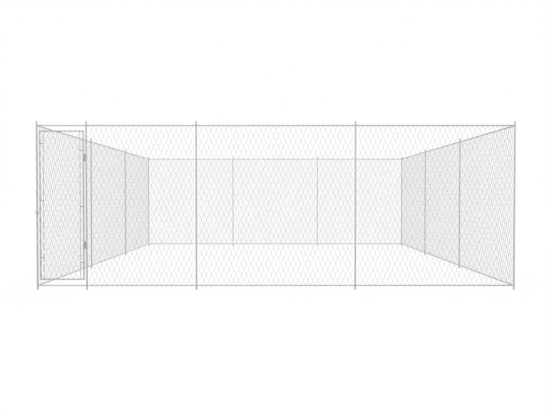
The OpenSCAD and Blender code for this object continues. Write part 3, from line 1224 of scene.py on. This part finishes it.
@dataclass(frozen=True)
class ChainLink:
    """Woven wire: upright zigzags, each hooked through its neighbours, with their ends round the rails.

    Attributes:
        wire: Radius of the wire.
        diamond_w: Width of one diamond, before whole zigzags are fitted into a panel.
        diamond_h: Height of one diamond, before half diamonds are fitted between the rails.
        hook: Distance that a bend reaches past the point where two zigzags meet.
        depth: Distance of the straight stretches from the panel's middle plane.
        rail_gap: Gap between a wire and the rail or bar that it goes round.
        sides: Sides of the wire.
    """

    wire: float = 1.25 * MM
    diamond_w: float = 58.9 * MM
    diamond_h: float = 132.3 * MM
    hook: float = 1.2 * MM
    depth: float = 1.4 * MM
    rail_gap: float = 0.1 * MM
    sides: int = 6

    # Places of a bend's rings above its middle, and how far each falls back from the bend's tip
    BEND_HEIGHTS = np.array([-7.0, -2.0, 2.0, 7.0]) * MM
    BEND_FALLS = np.array([2.5, 0.45, 0.45, 2.5]) * MM
    # Where each ring lies between the front plane, 1, and the back plane, -1
    BEND_LAYERS = np.array([1.0, 0.7, -0.7, -1.0])
    # Angles of the loop round a rail, from the side on which the wire arrives, and steps aside in wire radii
    LOOP_ANGLES = np.radians(np.linspace(-40.0, 220.0, 8))
    LOOP_OFFSETS = np.array([3.0, 1.6, 1.1, 1.1, 1.1, 1.1, 1.1, 1.1])
    # Distance from a rail's axis at which a wire leaves its straight stretch, in reaches of the loop
    LOOP_LEAD = 3
    # Angle in degrees past which edges are sharp, wide enough for the sides of the wire to look round
    ROUND_ANGLE = 75.0

    def loop(self, tip: Array, side: Array, slope: float, rail: float, reach: float, way: int) -> Array:
        """The end of each zigzag, from its last straight stretch to its tip behind the rail.

        At angle a the wire lies reach cos a in front of the rail's axis and reach sin a beyond it.

        Args:
            tip: Place of each zigzag's last bend along the wall.
            side: +1 where the zigzag arrives from the left and in front of the rail, else -1.
            slope: Steps along the wall for each step up of a straight stretch.
            rail: Height of the rail's axis.
            reach: Distance of the wire from the rail's axis.
            way: +1 at an upper rail, -1 at a lower one.

        Returns:
            Points as zigzags, points along the wire and coordinates.
        """
        lead = self.LOOP_LEAD * reach
        along = tip[:, None] - side[:, None] * self.wire * self.LOOP_OFFSETS
        front = way * side[:, None] * reach * np.cos(self.LOOP_ANGLES)
        height = np.broadcast_to(rail + way * reach * np.sin(self.LOOP_ANGLES), along.shape)
        wrap = np.stack([along, -front, height], axis=-1)
        start = np.stack(
            [
                tip - side * slope * (lead + reach),
                -way * side * self.depth,
                np.full(len(tip), rail - way * lead),
            ],
            axis=-1,
        )
        return np.concatenate([start[:, None], wrap], axis=1)

    def panel(
        self,
        edges: Span,
        rails: Span,
        rail_radius: float,
        bar_radius: float = 0.0,
        start: int = 0,
    ) -> Surface:
        """A panel between two edges and two rails.

        Zigzag s swings between columns s and s + 1 of a grid of half diamonds. At row r it is at its right
        column if s + r + start is even. It runs in front going up to the right and behind going up to the
        left, so each bend passes round the bend of the next zigzag.

        Args:
            edges: Places of the left and the right edge along the wall.
            rails: Heights of the lower and the upper rail's axis.
            rail_radius: Radius of the rails.
            bar_radius: Radius of the upright bars that the edges go round, or 0 where there are none.
            start: 0 if the first zigzag starts at its right column, 1 if at its left one.

        Returns:
            The wires, laid out on the wall.
        """
        (left, right), (low, high) = edges, rails
        reach = rail_radius + self.wire + self.rail_gap
        zigzags = round((right - left) / (self.diamond_w / 2))
        rows = round((high - low + 2 * reach) / (self.diamond_h / 2))
        step_w = (right - left) / zigzags
        step_h = (high - low + 2 * reach) / rows
        zigzag, row = np.meshgrid(np.arange(zigzags), np.arange(rows + 1), indexing="ij")
        at_right = (zigzag + row + start) % 2 == 0
        column = zigzag + at_right
        side = np.where(at_right, 1.0, -1.0)
        along = left + column * step_w
        height = low - reach + row * step_h

        round_bar = (bar_radius > 0) & ((column == 0) | (column == zigzags))
        bar_reach = bar_radius + self.wire + self.rail_gap
        hook = np.where(round_bar, bar_reach, self.hook)[:, 1:-1, None]
        depth = np.where(round_bar, bar_reach, self.depth)[:, 1:-1, None]
        swing = side[:, 1:-1, None]
        bends = np.stack(
            [
                along[:, 1:-1, None] + swing * (hook - self.BEND_FALLS),
                -swing * self.BEND_LAYERS * depth,
                height[:, 1:-1, None] + self.BEND_HEIGHTS,
            ],
            axis=-1,
        ).reshape(zigzags, -1, 3)
        slope = step_w / step_h
        foot = self.loop(along[:, 0], side[:, 0], slope, low, reach, -1)
        head = self.loop(along[:, -1], side[:, -1], slope, high, reach, 1)
        paths = np.concatenate([foot[:, ::-1], bends, head], axis=1)
        rings = carry(circle(self.wire, self.sides), paths, (1.0, 0.0, 0.0))
        return Surface.skin(rings, sharp=self.ROUND_ANGLE)


@dataclass(frozen=True)
class Nets:
    """The chain-link of every bay.

    Attributes:
        pen: The pen's main lines.
        weave: The chain-link.
        margin: Distance from a post's centre to the net's edge.
    """

    pen: Pen
    weave: ChainLink
    margin: float = 31.5 * MM

    def build(self, shop: Workshop) -> None:
        """Makes one net for each bay.

        Args:
            shop: The workshop.
        """
        rails = (self.pen.rail_height(Level.BOTTOM), self.pen.rail_height(Level.TOP))
        for wall in Wall:
            for number, (start, end) in enumerate(self.pen.bay_ends(wall), start=1):
                node = f"{wall.word}_net_{number}"
                edges = (start + self.margin, end - self.margin)
                panel = self.weave.panel(edges, rails, self.pen.rail_radius)
                shop.make(f"{node}_wires", panel.placed(self.pen.on_wall(wall)), WIRE_ZINC, node)


@dataclass(frozen=True)
class Gate:
    """The gate: a mitred frame of tubes with welded corners, tension bars, clips and chain-link.

    Attributes:
        pen: The pen's main lines.
        weave: The chain-link.
        radius: Outside radius of the gate's tubes.
        wall: Thickness of the tubes' wall.
        rise: Distance between the centres of the sill rail and the bottom rail.
        drop: Distance between the centres of the top rail and the header rail.
        latch_gap: Distance between the centres of the corner post and the latch stile.
        hinge_gap: Distance between the centres of the hinge stile and the gate post.
        mitre_gap: Gap between two mitred ends, which the weld fills.
        weld: The weld round a mitre.
        weld_steps: Rings along the weld.
        weld_drops: Drops of metal along the weld.
        bar_radius: Radius of the tension bars.
        bar_rim: Width of the chamfers on the bars' ends.
        bar_inset: Distance between the centres of a stile and its tension bar.
        clip_heights: Heights of the clips on each side.
        clip_height: Height of one clip along its stile.
        clip_thickness: Thickness of a clip's strap.
        clip_gap: Gap between a clip and what it goes round.
        clip_bend: Radius of the bends where a clip's strap leaves the stile and reaches the bar.
        run_gap: Gap between the two runs of a clip's strap.
    """

    pen: Pen
    weave: ChainLink
    radius: float = 8 * MM
    wall: float = 1 * MM
    rise: float = 74 * MM
    drop: float = 66 * MM
    latch_gap: float = 38 * MM
    hinge_gap: float = 36 * MM
    mitre_gap: float = 0.2 * MM
    weld: Weld = Weld()
    weld_steps: int = 72
    weld_drops: int = 24
    bar_radius: float = 4 * MM
    bar_rim: float = 0.8 * MM
    bar_inset: float = 39 * MM
    clip_heights: tuple[tuple[GateSide, tuple[float, ...]], ...] = (
        (GateSide.LATCH, (384 * MM, 1062 * MM, 1737 * MM)),
        (GateSide.HINGE, (324 * MM, 990 * MM, 1654 * MM)),
    )
    clip_height: float = 12 * MM
    clip_thickness: float = 2 * MM
    clip_gap: float = 0.2 * MM
    clip_bend: float = 4 * MM
    run_gap: float = 0.1 * MM

    @property
    def low(self) -> float:
        """Height of the bottom rail's centre."""
        return self.pen.rail_height(Level.BOTTOM) + self.rise

    @property
    def high(self) -> float:
        """Height of the top rail's centre."""
        return self.pen.rail_height(Level.TOP) - self.drop

    def stile(self, side: GateSide) -> float:
        """Place of a stile along the front wall.

        Args:
            side: The stile's side.

        Returns:
            Place of its centre.
        """
        if side is GateSide.LATCH:
            return self.latch_gap - self.pen.half
        return self.pen.gate_post - self.hinge_gap

    def bar(self, side: GateSide) -> float:
        """Place of a tension bar along the front wall."""
        return self.stile(side) + side.value * self.bar_inset

    def mitred(self, length: float) -> Rings:
        """Tube along Z from corner to corner, with sloping ends.

        A point at X on the lower end rises by X and a share of the mitre's gap, and one on the upper end
        sinks by as much.

        Args:
            length: Distance between the corners.

        Returns:
            The rings; the last one joins the first.
        """
        rings = tube(self.radius, self.wall, length)
        upper = rings[:, :, 2] > length / 2
        trim = self.mitre_gap / math.sqrt(2)
        rings[:, :, 2] += np.where(upper, -1, 1) * (rings[:, :, 0] + trim)
        return rings

    def corner_bead(self) -> Rings:
        """Weld bead round a mitre, along the ellipse (r cos a, r sin a, r cos a).

        Returns:
            The rings; the last one joins the first.
        """
        angle = np.arange(self.weld_steps) * FULL_TURN / self.weld_steps
        path = self.radius * np.column_stack([np.cos(angle), np.sin(angle), np.cos(angle)])
        sections = self.weld.sections(np.cos(self.weld_drops * angle))
        return carry(sections, path[None], (-1.0, 0.0, 1.0), looped=True)[0]

    def tubes(self) -> dict[str, tuple[Placement, float]]:
        """The tubes of the frame.

        Returns:
            Placement on the wall and length of each tube, by the name of its node.
        """
        latch, hinge = self.stile(GateSide.LATCH), self.stile(GateSide.HINGE)
        tall, wide = self.high - self.low, hinge - latch
        return {
            "gate_latch_stile": (shift(latch, 0, self.low), tall),
            "gate_hinge_stile": (shift(hinge, 0, self.low) @ turn("z", HALF_TURN), tall),
            "gate_bottom_rail": (shift(hinge, 0, self.low) @ turn("y", -QUARTER_TURN), wide),
            "gate_top_rail": (shift(latch, 0, self.high) @ turn("y", QUARTER_TURN), wide),
        }

    def corners(self) -> list[Placement]:
        """The four corners of the frame.

        Returns:
            Placements with X and Z pointing into the gate, two of them mirrored.
        """
        places = []
        for side in GateSide:
            for height, flip in ((self.low, 1), (self.high, -1)):
                matrix = shift(self.stile(side), 0, height)
                matrix[0, 0], matrix[2, 2] = side.value, flip
                places.append(self.pen.on_wall(Wall.FRONT) @ matrix)
        return places

    def clip(self) -> Rings:
        """Strap round the stile at X = 0 and the bar at X = bar_inset, its two runs close together between.

        Each half follows an arc round the stile, a bend tangent to it, a straight run, a bend and an arc
        round the bar; the other half is its mirror image.

        Returns:
            The rings; the last one joins the first.
        """
        half, bend = self.clip_thickness / 2, self.clip_bend
        big = self.radius + self.clip_gap + half
        small = self.bar_radius + self.clip_gap + half
        lift = half + self.run_gap / 2 + bend
        big_x = math.sqrt((big + bend) ** 2 - lift**2)
        small_x = math.sqrt((small + bend) ** 2 - lift**2)
        big_angle = math.degrees(math.atan2(lift, big_x))
        small_angle = math.degrees(math.atan2(lift, small_x))
        upper = np.concatenate(
            [
                arc((0, 0), big, 180, big_angle),
                arc((big_x, lift), bend, 180 + big_angle, 270)[1:],
                arc((self.bar_inset - small_x, lift), bend, 270, 360 - small_angle),
                arc((self.bar_inset, 0), small, 180 - small_angle, 0)[1:],
            ]
        )
        lower = (upper * (1, -1))[-2:0:-1]
        outline = np.concatenate([upper, lower])
        path = np.column_stack([outline, np.zeros(len(outline))])
        section = rounded_rectangle(self.clip_height, self.clip_thickness, BROKEN_EDGE)
        return carry(section, path[None], (0.0, 0.0, 1.0), looped=True)[0]

    def build(self, shop: Workshop) -> None:
        """Makes the frame, its welds, the bars, the clips and the net.

        Args:
            shop: The workshop.
        """
        front = self.pen.on_wall(Wall.FRONT)
        for node, (place, length) in self.tubes().items():
            surface = Surface.skin(spread(self.mitred(length), [front @ place]), looped=True)
            shop.make(f"{node}_tube", surface, TUBE_ZINC, node)
        beads = Surface.skin(spread(self.corner_bead(), self.corners()), looped=True)
        shop.make("gate_corner_welds", beads, TUBE_ZINC, body="gate")
        end_gap = self.radius + self.pen.rest_gap
        span = self.high - self.low - 2 * end_gap
        rod = revolve(stem(self.bar_radius, 0.0, span, self.bar_rim, self.bar_rim))
        for side, heights in self.clip_heights:
            node = f"gate_{side.word}_side_bar"
            place = front @ shift(self.bar(side), 0, self.low + end_gap)
            shop.make(f"{node}_rod", Surface.skin(spread(rod, [place])), TUBE_ZINC, node)
            node = f"gate_{side.word}_side_clips"
            facing = turn("z", 0.0 if side is GateSide.LATCH else HALF_TURN)
            places = [front @ shift(self.stile(side), 0, height) @ facing for height in heights]
            straps = Surface.skin(spread(self.clip(), places), looped=True)
            shop.make(f"{node}_straps", straps, FITTING_ZINC, node)
        edges = (self.bar(GateSide.LATCH), self.bar(GateSide.HINGE))
        panel = self.weave.panel(edges, (self.low, self.high), self.radius, self.bar_radius, start=1)
        shop.make("gate_net_wires", panel.placed(front), WIRE_ZINC, "gate_net")


@dataclass(frozen=True)
class Hinges:
    """Two barrel hinges between the hinge stile and the gate post, welded to both.

    Attributes:
        gate: The gate that they carry.
        heights: Heights of the hinges' middles, by the word in the nodes' names.
        length: Length of a hinge along its pin.
        lug_length: Length of the gate's lug along the pin.
        barrel: Radius of a barrel.
        bore: Radius of a barrel's bore.
        tab: Half the width of the tabs that join the barrels to the tubes.
        seat_gap: Gap between a tab and its tube, which the weld fills.
        pin: Radius of the pin.
        head: Radius of the pin's heads.
        head_height: Height of the pin's heads.
        weld: The welds along the tabs.
        weld_steps: Rings along a weld.
    """

    gate: Gate
    heights: tuple[tuple[str, float], ...] = (("lower", 533 * MM), ("upper", 1568 * MM))
    length: float = 84 * MM
    lug_length: float = 34 * MM
    barrel: float = 7 * MM
    bore: float = 4.05 * MM
    tab: float = 4 * MM
    seat_gap: float = 0.2 * MM
    pin: float = 4 * MM
    head: float = 6 * MM
    head_height: float = 3 * MM
    weld: Weld = Weld(radius=1.0 * MM, ripple=0.18)
    weld_steps: int = 25

    # Stretch of half a turn over which a weld swells and thins out, and how full it stays between
    FADE_STRETCH = (0.12, 0.88)
    FADE_POWER = 0.3

    def lug(self, reach: float, tube_radius: float, span: Span) -> Rings:
        """Barrel on the Z axis with a tab along X up to a tube.

        The outline is the barrel's arc, the tab's two flanks and a hollow end that follows the tube.

        Args:
            reach: Distance of the tube's centre from the pin.
            tube_radius: Radius of the tube.
            span: Heights of the lug's lower and upper end.

        Returns:
            The rings; the last one joins the first.
        """
        side = math.degrees(math.asin(self.tab / self.barrel))
        hollow = tube_radius + self.seat_gap
        opening = math.degrees(math.asin(self.tab / hollow))
        end = arc((reach, 0.0), hollow, 180 + opening, 180 - opening)
        outline = np.concatenate([arc((0, 0), self.barrel, side, 360 - side), end])
        return pierced(outline, self.bore, *span, BROKEN_EDGE)

    def pin_rings(self) -> Rings:
        """Pin along Z with a low domed head on each end.

        Returns:
            The rings.
        """
        top = self.length / 2
        upper = [(self.pin, top), *domed(self.head, top, top + self.head_height)]
        lower = [(radius, -height) for radius, height in reversed(upper)]
        return revolve(lower + upper)

    def beads(self, reach: float, tube_radius: float, span: Span) -> Shapes:
        """Two upright weld beads, where the tab's flanks meet the tube, thinner at their ends.

        The fade is a power of sin b, with b over most of half a turn, and the drops rise and fall from
        ring to ring.

        Args:
            reach: Distance of the tube's centre from the pin.
            tube_radius: Radius of the tube.
            span: Heights of the lug's lower and upper end.

        Returns:
            The rings of both beads.
        """
        place = reach - math.sqrt(tube_radius**2 - self.tab**2)
        height = np.linspace(span[0] + self.weld.radius, span[1] - self.weld.radius, self.weld_steps)
        fade = np.sin(np.linspace(*self.FADE_STRETCH, self.weld_steps) * HALF_TURN) ** self.FADE_POWER
        sections = self.weld.sections(np.cos(np.arange(self.weld_steps) * HALF_TURN), fade)
        flanks = np.array([-self.tab, self.tab])[:, None]
        paths = np.stack(np.broadcast_arrays(place, flanks, height), axis=-1)
        return carry(sections, paths, (1.0, 0.0, 0.0))

    def build(self, shop: Workshop) -> None:
        """Makes the lugs, pins and welds of both hinges.

        Args:
            shop: The workshop.
        """
        gate, pen = self.gate, self.gate.pen
        clear = gate.hinge_gap - gate.radius - pen.post_radius
        to_post, to_stile = pen.post_radius + clear / 2, gate.radius + clear / 2
        inner, outer = self.lug_length / 2 + pen.rest_gap, self.length / 2
        post_spans = ((-outer, -inner), (inner, outer))
        gate_span = (-self.lug_length / 2, self.lug_length / 2)
        axis = pen.on_wall(Wall.FRONT) @ shift(pen.gate_post - to_post)
        for word, height in self.heights:
            place = axis @ shift(z=height)
            lugs = np.array([self.lug(to_post, pen.post_radius, span) for span in post_spans])
            surface = Surface.skin(lugs, looped=True).placed(place)
            shop.make(f"hinge_{word}_post_lugs", surface, FITTING_ZINC, f"hinge_post_lugs_{word}")
            welds = np.concatenate([self.beads(to_post, pen.post_radius, span) for span in post_spans])
            surface = Surface.skin(welds).placed(place)
            shop.make(f"hinge_{word}_post_welds", surface, FITTING_ZINC, body="frame")

            facing = place @ turn("z", HALF_TURN)
            lug = self.lug(to_stile, gate.radius, gate_span)
            surface = Surface.skin(lug[None], looped=True).placed(facing)
            shop.make(f"hinge_{word}_gate_lug", surface, FITTING_ZINC, f"hinge_gate_lug_{word}")
            surface = Surface.skin(self.beads(to_stile, gate.radius, gate_span)).placed(facing)
            shop.make(f"hinge_{word}_gate_welds", surface, FITTING_ZINC, body="gate")

            pin = Surface.skin(self.pin_rings()[None]).placed(place)
            shop.make(f"hinge_{word}_pin", pin, FITTING_ZINC, f"hinge_pin_{word}")


@dataclass(frozen=True)
class Latch:
    """Clamp on the corner post with a turning lever, and the keeper on the gate's stile.

    Attributes:
        gate: The gate that it holds.
        height: Height of the latch's middle.
        clamp_height: Height of the clamp along the post.
        band_in: Inner radius of the clamp's band.
        thickness: Thickness of the band and its ears.
        ear: Width of the ears beyond the band.
        ear_gap: Gap between the ears of the two halves.
        bolt: Radius of the clamp's bolts.
        flats: Width across the flats of the bolt heads and nuts.
        bolt_head: Height of the bolt heads.
        nut: Height of the nuts.
        bolt_tail: Length of a bolt beyond its nut.
        boss_height: Height of the boss in front of the band.
        boss: Radius of the boss.
        pivot: Radius of the lever's pivot.
        pivot_head: Radius of the pivot's head.
        pivot_head_height: Height of the pivot's head.
        run_gap: Radial gap of the pivot in its bores.
        lever_width: Width of the lever.
        lever_thickness: Thickness of the lever.
        lever_overlap: Reach of each arm of the lever past the latch stile's centre.
        lever_rim: Radius of the lever's rims.
        tongue_root: Distance from the post's centre at which the stop tongue leaves the band.
        tongue_overlap: Reach of the stop tongue past the latch stile's centre.
        tongue_height: Height of the stop tongue.
        tongue_thickness: Thickness of the stop tongue.
        stop_gap: Gap between the closed gate and its stop and lever.
        keeper_width: Width of the keeper.
        keeper_height: Height of the keeper.
        keeper_gap: Gap between the keeper and its stile.
        block_rounding: Radius of the edges of the tongue and the keeper.
    """

    gate: Gate
    height: float = 920 * MM
    clamp_height: float = 35 * MM
    band_in: float = 10.2 * MM
    thickness: float = 3 * MM
    ear: float = 8 * MM
    ear_gap: float = 1 * MM
    bolt: float = 2.5 * MM
    flats: float = 8 * MM
    bolt_head: float = 3.5 * MM
    nut: float = 4 * MM
    bolt_tail: float = 2 * MM
    boss_height: float = 4 * MM
    boss: float = 8 * MM
    pivot: float = 4 * MM
    pivot_head: float = 7 * MM
    pivot_head_height: float = 3 * MM
    run_gap: float = 0.05 * MM
    lever_width: float = 16 * MM
    lever_thickness: float = 5 * MM
    lever_overlap: float = 9.5 * MM
    lever_rim: float = 1.2 * MM
    tongue_root: float = 7.6 * MM
    tongue_overlap: float = 6 * MM
    tongue_height: float = 6 * MM
    tongue_thickness: float = 4 * MM
    stop_gap: float = 0.5 * MM
    keeper_width: float = 12 * MM
    keeper_height: float = 24 * MM
    keeper_gap: float = 0.2 * MM
    block_rounding: float = 1 * MM

    # Flats of a bolt head or nut, and points along each
    FLAT_COUNT = 6
    FLAT_POINTS = 4

    @property
    def band_out(self) -> float:
        """Outer radius of the clamp's band."""
        return self.band_in + self.thickness

    @property
    def band_middle(self) -> float:
        """Radius of the middle of the band's thickness."""
        return self.band_in + self.thickness / 2

    @property
    def ear_face(self) -> float:
        """Distance of the ears' outer faces from the plane between the halves."""
        return self.ear_gap / 2 + self.thickness

    @property
    def off_middle(self) -> float:
        """Distance of the bolts below the clamp's middle, and of the stop tongue above it."""
        return self.clamp_height / 4

    @property
    def boss_face(self) -> float:
        """Distance of the boss's face from the post's centre."""
        return self.band_out + self.boss_height

    @property
    def pivot_bore(self) -> float:
        """Radius of the bores that the pivot runs through."""
        return self.pivot + self.run_gap

    @property
    def lever_back(self) -> float:
        """Distance of the lever's back from the post's centre."""
        return self.boss_face + self.gate.pen.rest_gap

    @property
    def lever_front(self) -> float:
        """Distance of the lever's front from the post's centre."""
        return self.lever_back + self.lever_thickness

    def half_clamp(self) -> Rings:
        """Half band with two ears on the -Y side, carried along Z.

        The outline runs along the ears' outer faces and round the band outside, then back inside.

        Returns:
            The rings.
        """
        reach = self.band_out + self.ear
        gap = self.ear_gap / 2
        out_angle = math.degrees(math.asin(self.ear_face / self.band_out))
        in_angle = math.degrees(math.asin(gap / self.band_in))
        outline = np.concatenate(
            [
                [[-reach, -gap], [-reach, -self.ear_face]],
                arc((0, 0), self.band_out, 180 + out_angle, 360 - out_angle),
                [[reach, -self.ear_face], [reach, -gap]],
                arc((0, 0), self.band_in, 360 - in_angle, 180 + in_angle),
            ]
        )
        return prism(outline, -self.clamp_height / 2, self.clamp_height / 2, BROKEN_EDGE)

    def hexagon(self) -> Outline:
        """Outline of a bolt head or nut, with points along its flats so that its rim can round off.

        Returns:
            The outline.
        """
        corners = circle(self.flats / 2 / math.cos(HALF_TURN / self.FLAT_COUNT), self.FLAT_COUNT)
        share = np.linspace(0, 1, self.FLAT_POINTS, endpoint=False)[None, :, None]
        edges = corners[:, None] * (1 - share) + np.roll(corners, -1, axis=0)[:, None] * share
        return edges.reshape(-1, 2)

    def clamp_bolts(self) -> Surface:
        """Both bolts with their nuts; Z of the parts points to the front.

        Returns:
            The bolts, round the post's axis at the latch's height.
        """
        across = self.band_out + self.ear / 2
        under_nut = -self.ear_face - self.nut
        head = prism(self.hexagon(), self.ear_face, self.ear_face + self.bolt_head, BROKEN_EDGE)
        nut = prism(self.hexagon(), under_nut, -self.ear_face, BROKEN_EDGE)
        shank = revolve(stem(self.bolt, under_nut - self.bolt_tail, self.ear_face, low_rim=BROKEN_EDGE))
        places = [shift(x, 0, -self.off_middle) @ turn("x", QUARTER_TURN) for x in (-across, across)]
        return Surface.join(*(Surface.skin(spread(part, places)) for part in (head, nut, shank)))

    def pivot_rings(self) -> Rings:
        """Pivot along Z, the way to the front, with a domed head in front of the lever.

        Returns:
            The rings.
        """
        front = self.lever_front + self.gate.pen.rest_gap
        head = domed(self.pivot_head, front, front + self.pivot_head_height)
        return revolve(stem(self.pivot, self.band_middle, front) + head)

    def boss_rings(self) -> Rings:
        """Boss along Z from inside the band to its face, with a bore for the pivot.

        Returns:
            The rings; the last one joins the first.
        """
        outside = stem(self.boss, self.band_middle, self.boss_face, high_rim=BROKEN_EDGE)
        bore = [(self.pivot_bore, self.boss_face), (self.pivot_bore, self.band_middle)]
        return revolve(outside + bore)

    def lever(self) -> Rings:
        """Lever along Y with round ends and a bore in its middle; its back faces the post.

        Returns:
            The rings; the last one joins the first.
        """
        length = 2 * (self.gate.latch_gap + self.lever_overlap)
        outline = stadium(length, self.lever_width)
        return pierced(outline, self.pivot_bore, self.lever_back, self.lever_front, self.lever_rim)

    def tongue(self) -> Rings:
        """Stop tongue along X behind the latch stile, with round edges.

        Returns:
            The rings.
        """
        section = rounded_rectangle(self.tongue_thickness, self.tongue_height, self.block_rounding)
        end = self.gate.latch_gap + self.tongue_overlap
        rings = prism(section, self.tongue_root, end, BROKEN_EDGE)
        back = self.gate.radius + self.stop_gap + self.tongue_thickness / 2
        return rings[:, :, [2, 0, 1]] + (0.0, back, self.off_middle)

    def keeper(self) -> Rings:
        """Block in front of the latch stile, hollowed to fit it.

        Returns:
            The rings.
        """
        hollow = self.gate.radius + self.keeper_gap
        half, rounding = self.keeper_width / 2, self.block_rounding
        side = math.degrees(math.asin(half / hollow))
        corner_x, corner_y = half - rounding, rounding + self.stop_gap - self.lever_back
        outline = np.concatenate(
            [
                arc((corner_x, corner_y), rounding, 270, 360, CORNER_STEP),
                arc((0, 0), hollow, 270 + side, 270 - side),
                arc((-corner_x, corner_y), rounding, 180, 270, CORNER_STEP),
            ]
        )
        return prism(outline, -self.keeper_height / 2, self.keeper_height / 2, BROKEN_EDGE)

    def build(self, shop: Workshop) -> None:
        """Makes the clamp, its bolts, the pivot, the lever and the keeper.

        Args:
            shop: The workshop.
        """
        # All latch pieces take the fittings' zinc with raised greys: painted light over the shade in the
        # latch's crevices.
        pen = self.gate.pen
        middle = pen.on_wall(Wall.FRONT) @ shift(-pen.half, 0, self.height)
        to_front = turn("x", QUARTER_TURN)
        front = Surface.join(
            Surface.skin(self.half_clamp()[None]),
            Surface.skin(spread(self.boss_rings(), [to_front]), looped=True),
        )
        shop.make("latch_clamp_front_half", front.placed(middle), LATCH_ZINC_PAINTED_LIGHT, "latch_clamp_front")
        back = Surface.join(
            Surface.skin(spread(self.half_clamp(), [turn("z", HALF_TURN)])),
            Surface.skin(self.tongue()[None]),
        )
        shop.make("latch_clamp_back_half", back.placed(middle), LATCH_ZINC_PAINTED_LIGHT, "latch_clamp_back")
        bolts = self.clamp_bolts().placed(middle)
        shop.make("latch_clamp_bolt_set", bolts, LATCH_ZINC_PAINTED_LIGHT, "latch_clamp_bolts")
        pivot = Surface.skin(spread(self.pivot_rings(), [middle @ to_front]))
        shop.make("latch_pivot_bolt", pivot, LATCH_ZINC_PAINTED_LIGHT, "latch_pivot")
        lever = Surface.skin(spread(self.lever(), [middle @ to_front]), looped=True)
        shop.make("latch_lever_arm", lever, LATCH_ZINC_PAINTED_LIGHT, "latch_lever")
        keeper = Surface.skin(spread(self.keeper(), [middle @ shift(self.gate.latch_gap)]))
        shop.make("latch_keeper_block", keeper, LATCH_ZINC_PAINTED_LIGHT, "latch_keeper")


@dataclass(frozen=True)
class SoftLight:
    """A distant light as wide as a large cloth screen.

    Attributes:
        name: Name of the light.
        toward: Direction towards it.
        strength: Its strength.
        angle: Angle that it fills, in degrees.
    """

    name: str
    toward: tuple[float, float, float]
    strength: float
    angle: float = 50.0

    def build(self) -> None:
        """Adds the light."""
        lamp = bpy.data.lights.new(self.name, "SUN")
        lamp.energy = self.strength
        lamp.angle = math.radians(self.angle)
        holder = bpy.data.objects.new(self.name, lamp)
        holder.rotation_euler = Vector(self.toward).to_track_quat("Z", "Y").to_euler()
        bpy.context.scene.collection.objects.link(holder)


@dataclass(frozen=True)
class Studio:
    """Plain white studio with soft lights, and the camera in front of the pen.

    Attributes:
        image_width: Width of the picture in pixels.
        focal_pixels: Focal length in pixels.
        sensor_width: Width of the camera's sensor in millimetres.
        sight: Distance up to which the camera sees.
        camera_place: Place of the camera.
        pitch: Angle by which the camera looks down, in radians.
        yaw: Angle by which it looks to the right, in radians.
        floor_half: Half the side of the floor.
        dome: Strength of the white surroundings.
        lights: The soft lights, high in front and behind, and low on both sides.
    """

    image_width: float = 550
    focal_pixels: float = 537.1
    sensor_width: float = 36.0
    sight: float = 200.0
    camera_place: tuple[float, float, float] = (-0.0189, -9.2146, 1.1053)
    pitch: float = 0.0172
    yaw: float = 0.0013
    floor_half: float = 60.0
    dome: float = 1.0
    lights: tuple[SoftLight, ...] = (
        SoftLight("front_light", (-0.2, -0.6, 0.75), 1.0),
        SoftLight("back_light", (0.1, 0.85, 0.5), 1.0),
        SoftLight("left_light", (-0.95, -0.2, 0.2), 0.5),
        SoftLight("right_light", (0.95, -0.2, 0.2), 0.5),
    )

    def camera(self) -> None:
        """Adds the camera."""
        lens = bpy.data.cameras.new("camera")
        lens.sensor_width = self.sensor_width
        lens.lens = self.sensor_width * self.focal_pixels / self.image_width
        lens.clip_end = self.sight
        camera = bpy.data.objects.new("camera", lens)
        camera.location = self.camera_place
        camera.rotation_euler = (QUARTER_TURN - self.pitch, 0.0, -self.yaw)
        bpy.context.scene.collection.objects.link(camera)
        bpy.context.scene.camera = camera

    def surroundings(self) -> None:
        """Adds the white surroundings."""
        scene = bpy.context.scene
        scene.view_settings.view_transform = "Standard"
        world = bpy.data.worlds.new("white_studio")
        world.use_nodes = True
        background = world.node_tree.nodes["Background"]
        background.inputs["Color"].default_value = (1.0, 1.0, 1.0, 1.0)
        background.inputs["Strength"].default_value = self.dome
        scene.world = world

    def floor(self) -> None:
        """Adds the floor."""
        mesh = bpy.data.meshes.new("floor")
        corners = self.floor_half * np.array([(-1, -1, 0), (1, -1, 0), (1, 1, 0), (-1, 1, 0)])
        mesh.from_pydata(corners.tolist(), [], [(0, 1, 2, 3)])
        mesh.materials.append(FLOOR.material())
        floor = bpy.data.objects.new("floor", mesh)
        bpy.context.scene.collection.objects.link(floor)

    def build(self) -> None:
        """Adds the camera, the surroundings, the lights and the floor."""
        self.camera()
        self.surroundings()
        for light in self.lights:
            light.build()
        self.floor()


def main() -> None:
    """Builds the studio and every sub-assembly in turn."""
    logging.basicConfig(level=logging.INFO, format="%(name)s: %(message)s")
    pen = Pen()
    weave = ChainLink()
    gate = Gate(pen, weave)
    Studio().build()
    shop = Workshop()
    for assembly in (Posts(pen), Rails(pen), Nets(pen, weave), gate, Hinges(gate), Latch(gate)):
        LOG.info("building %s", type(assembly).__name__)
        assembly.build(shop)


if __name__ == "__main__":
    main()
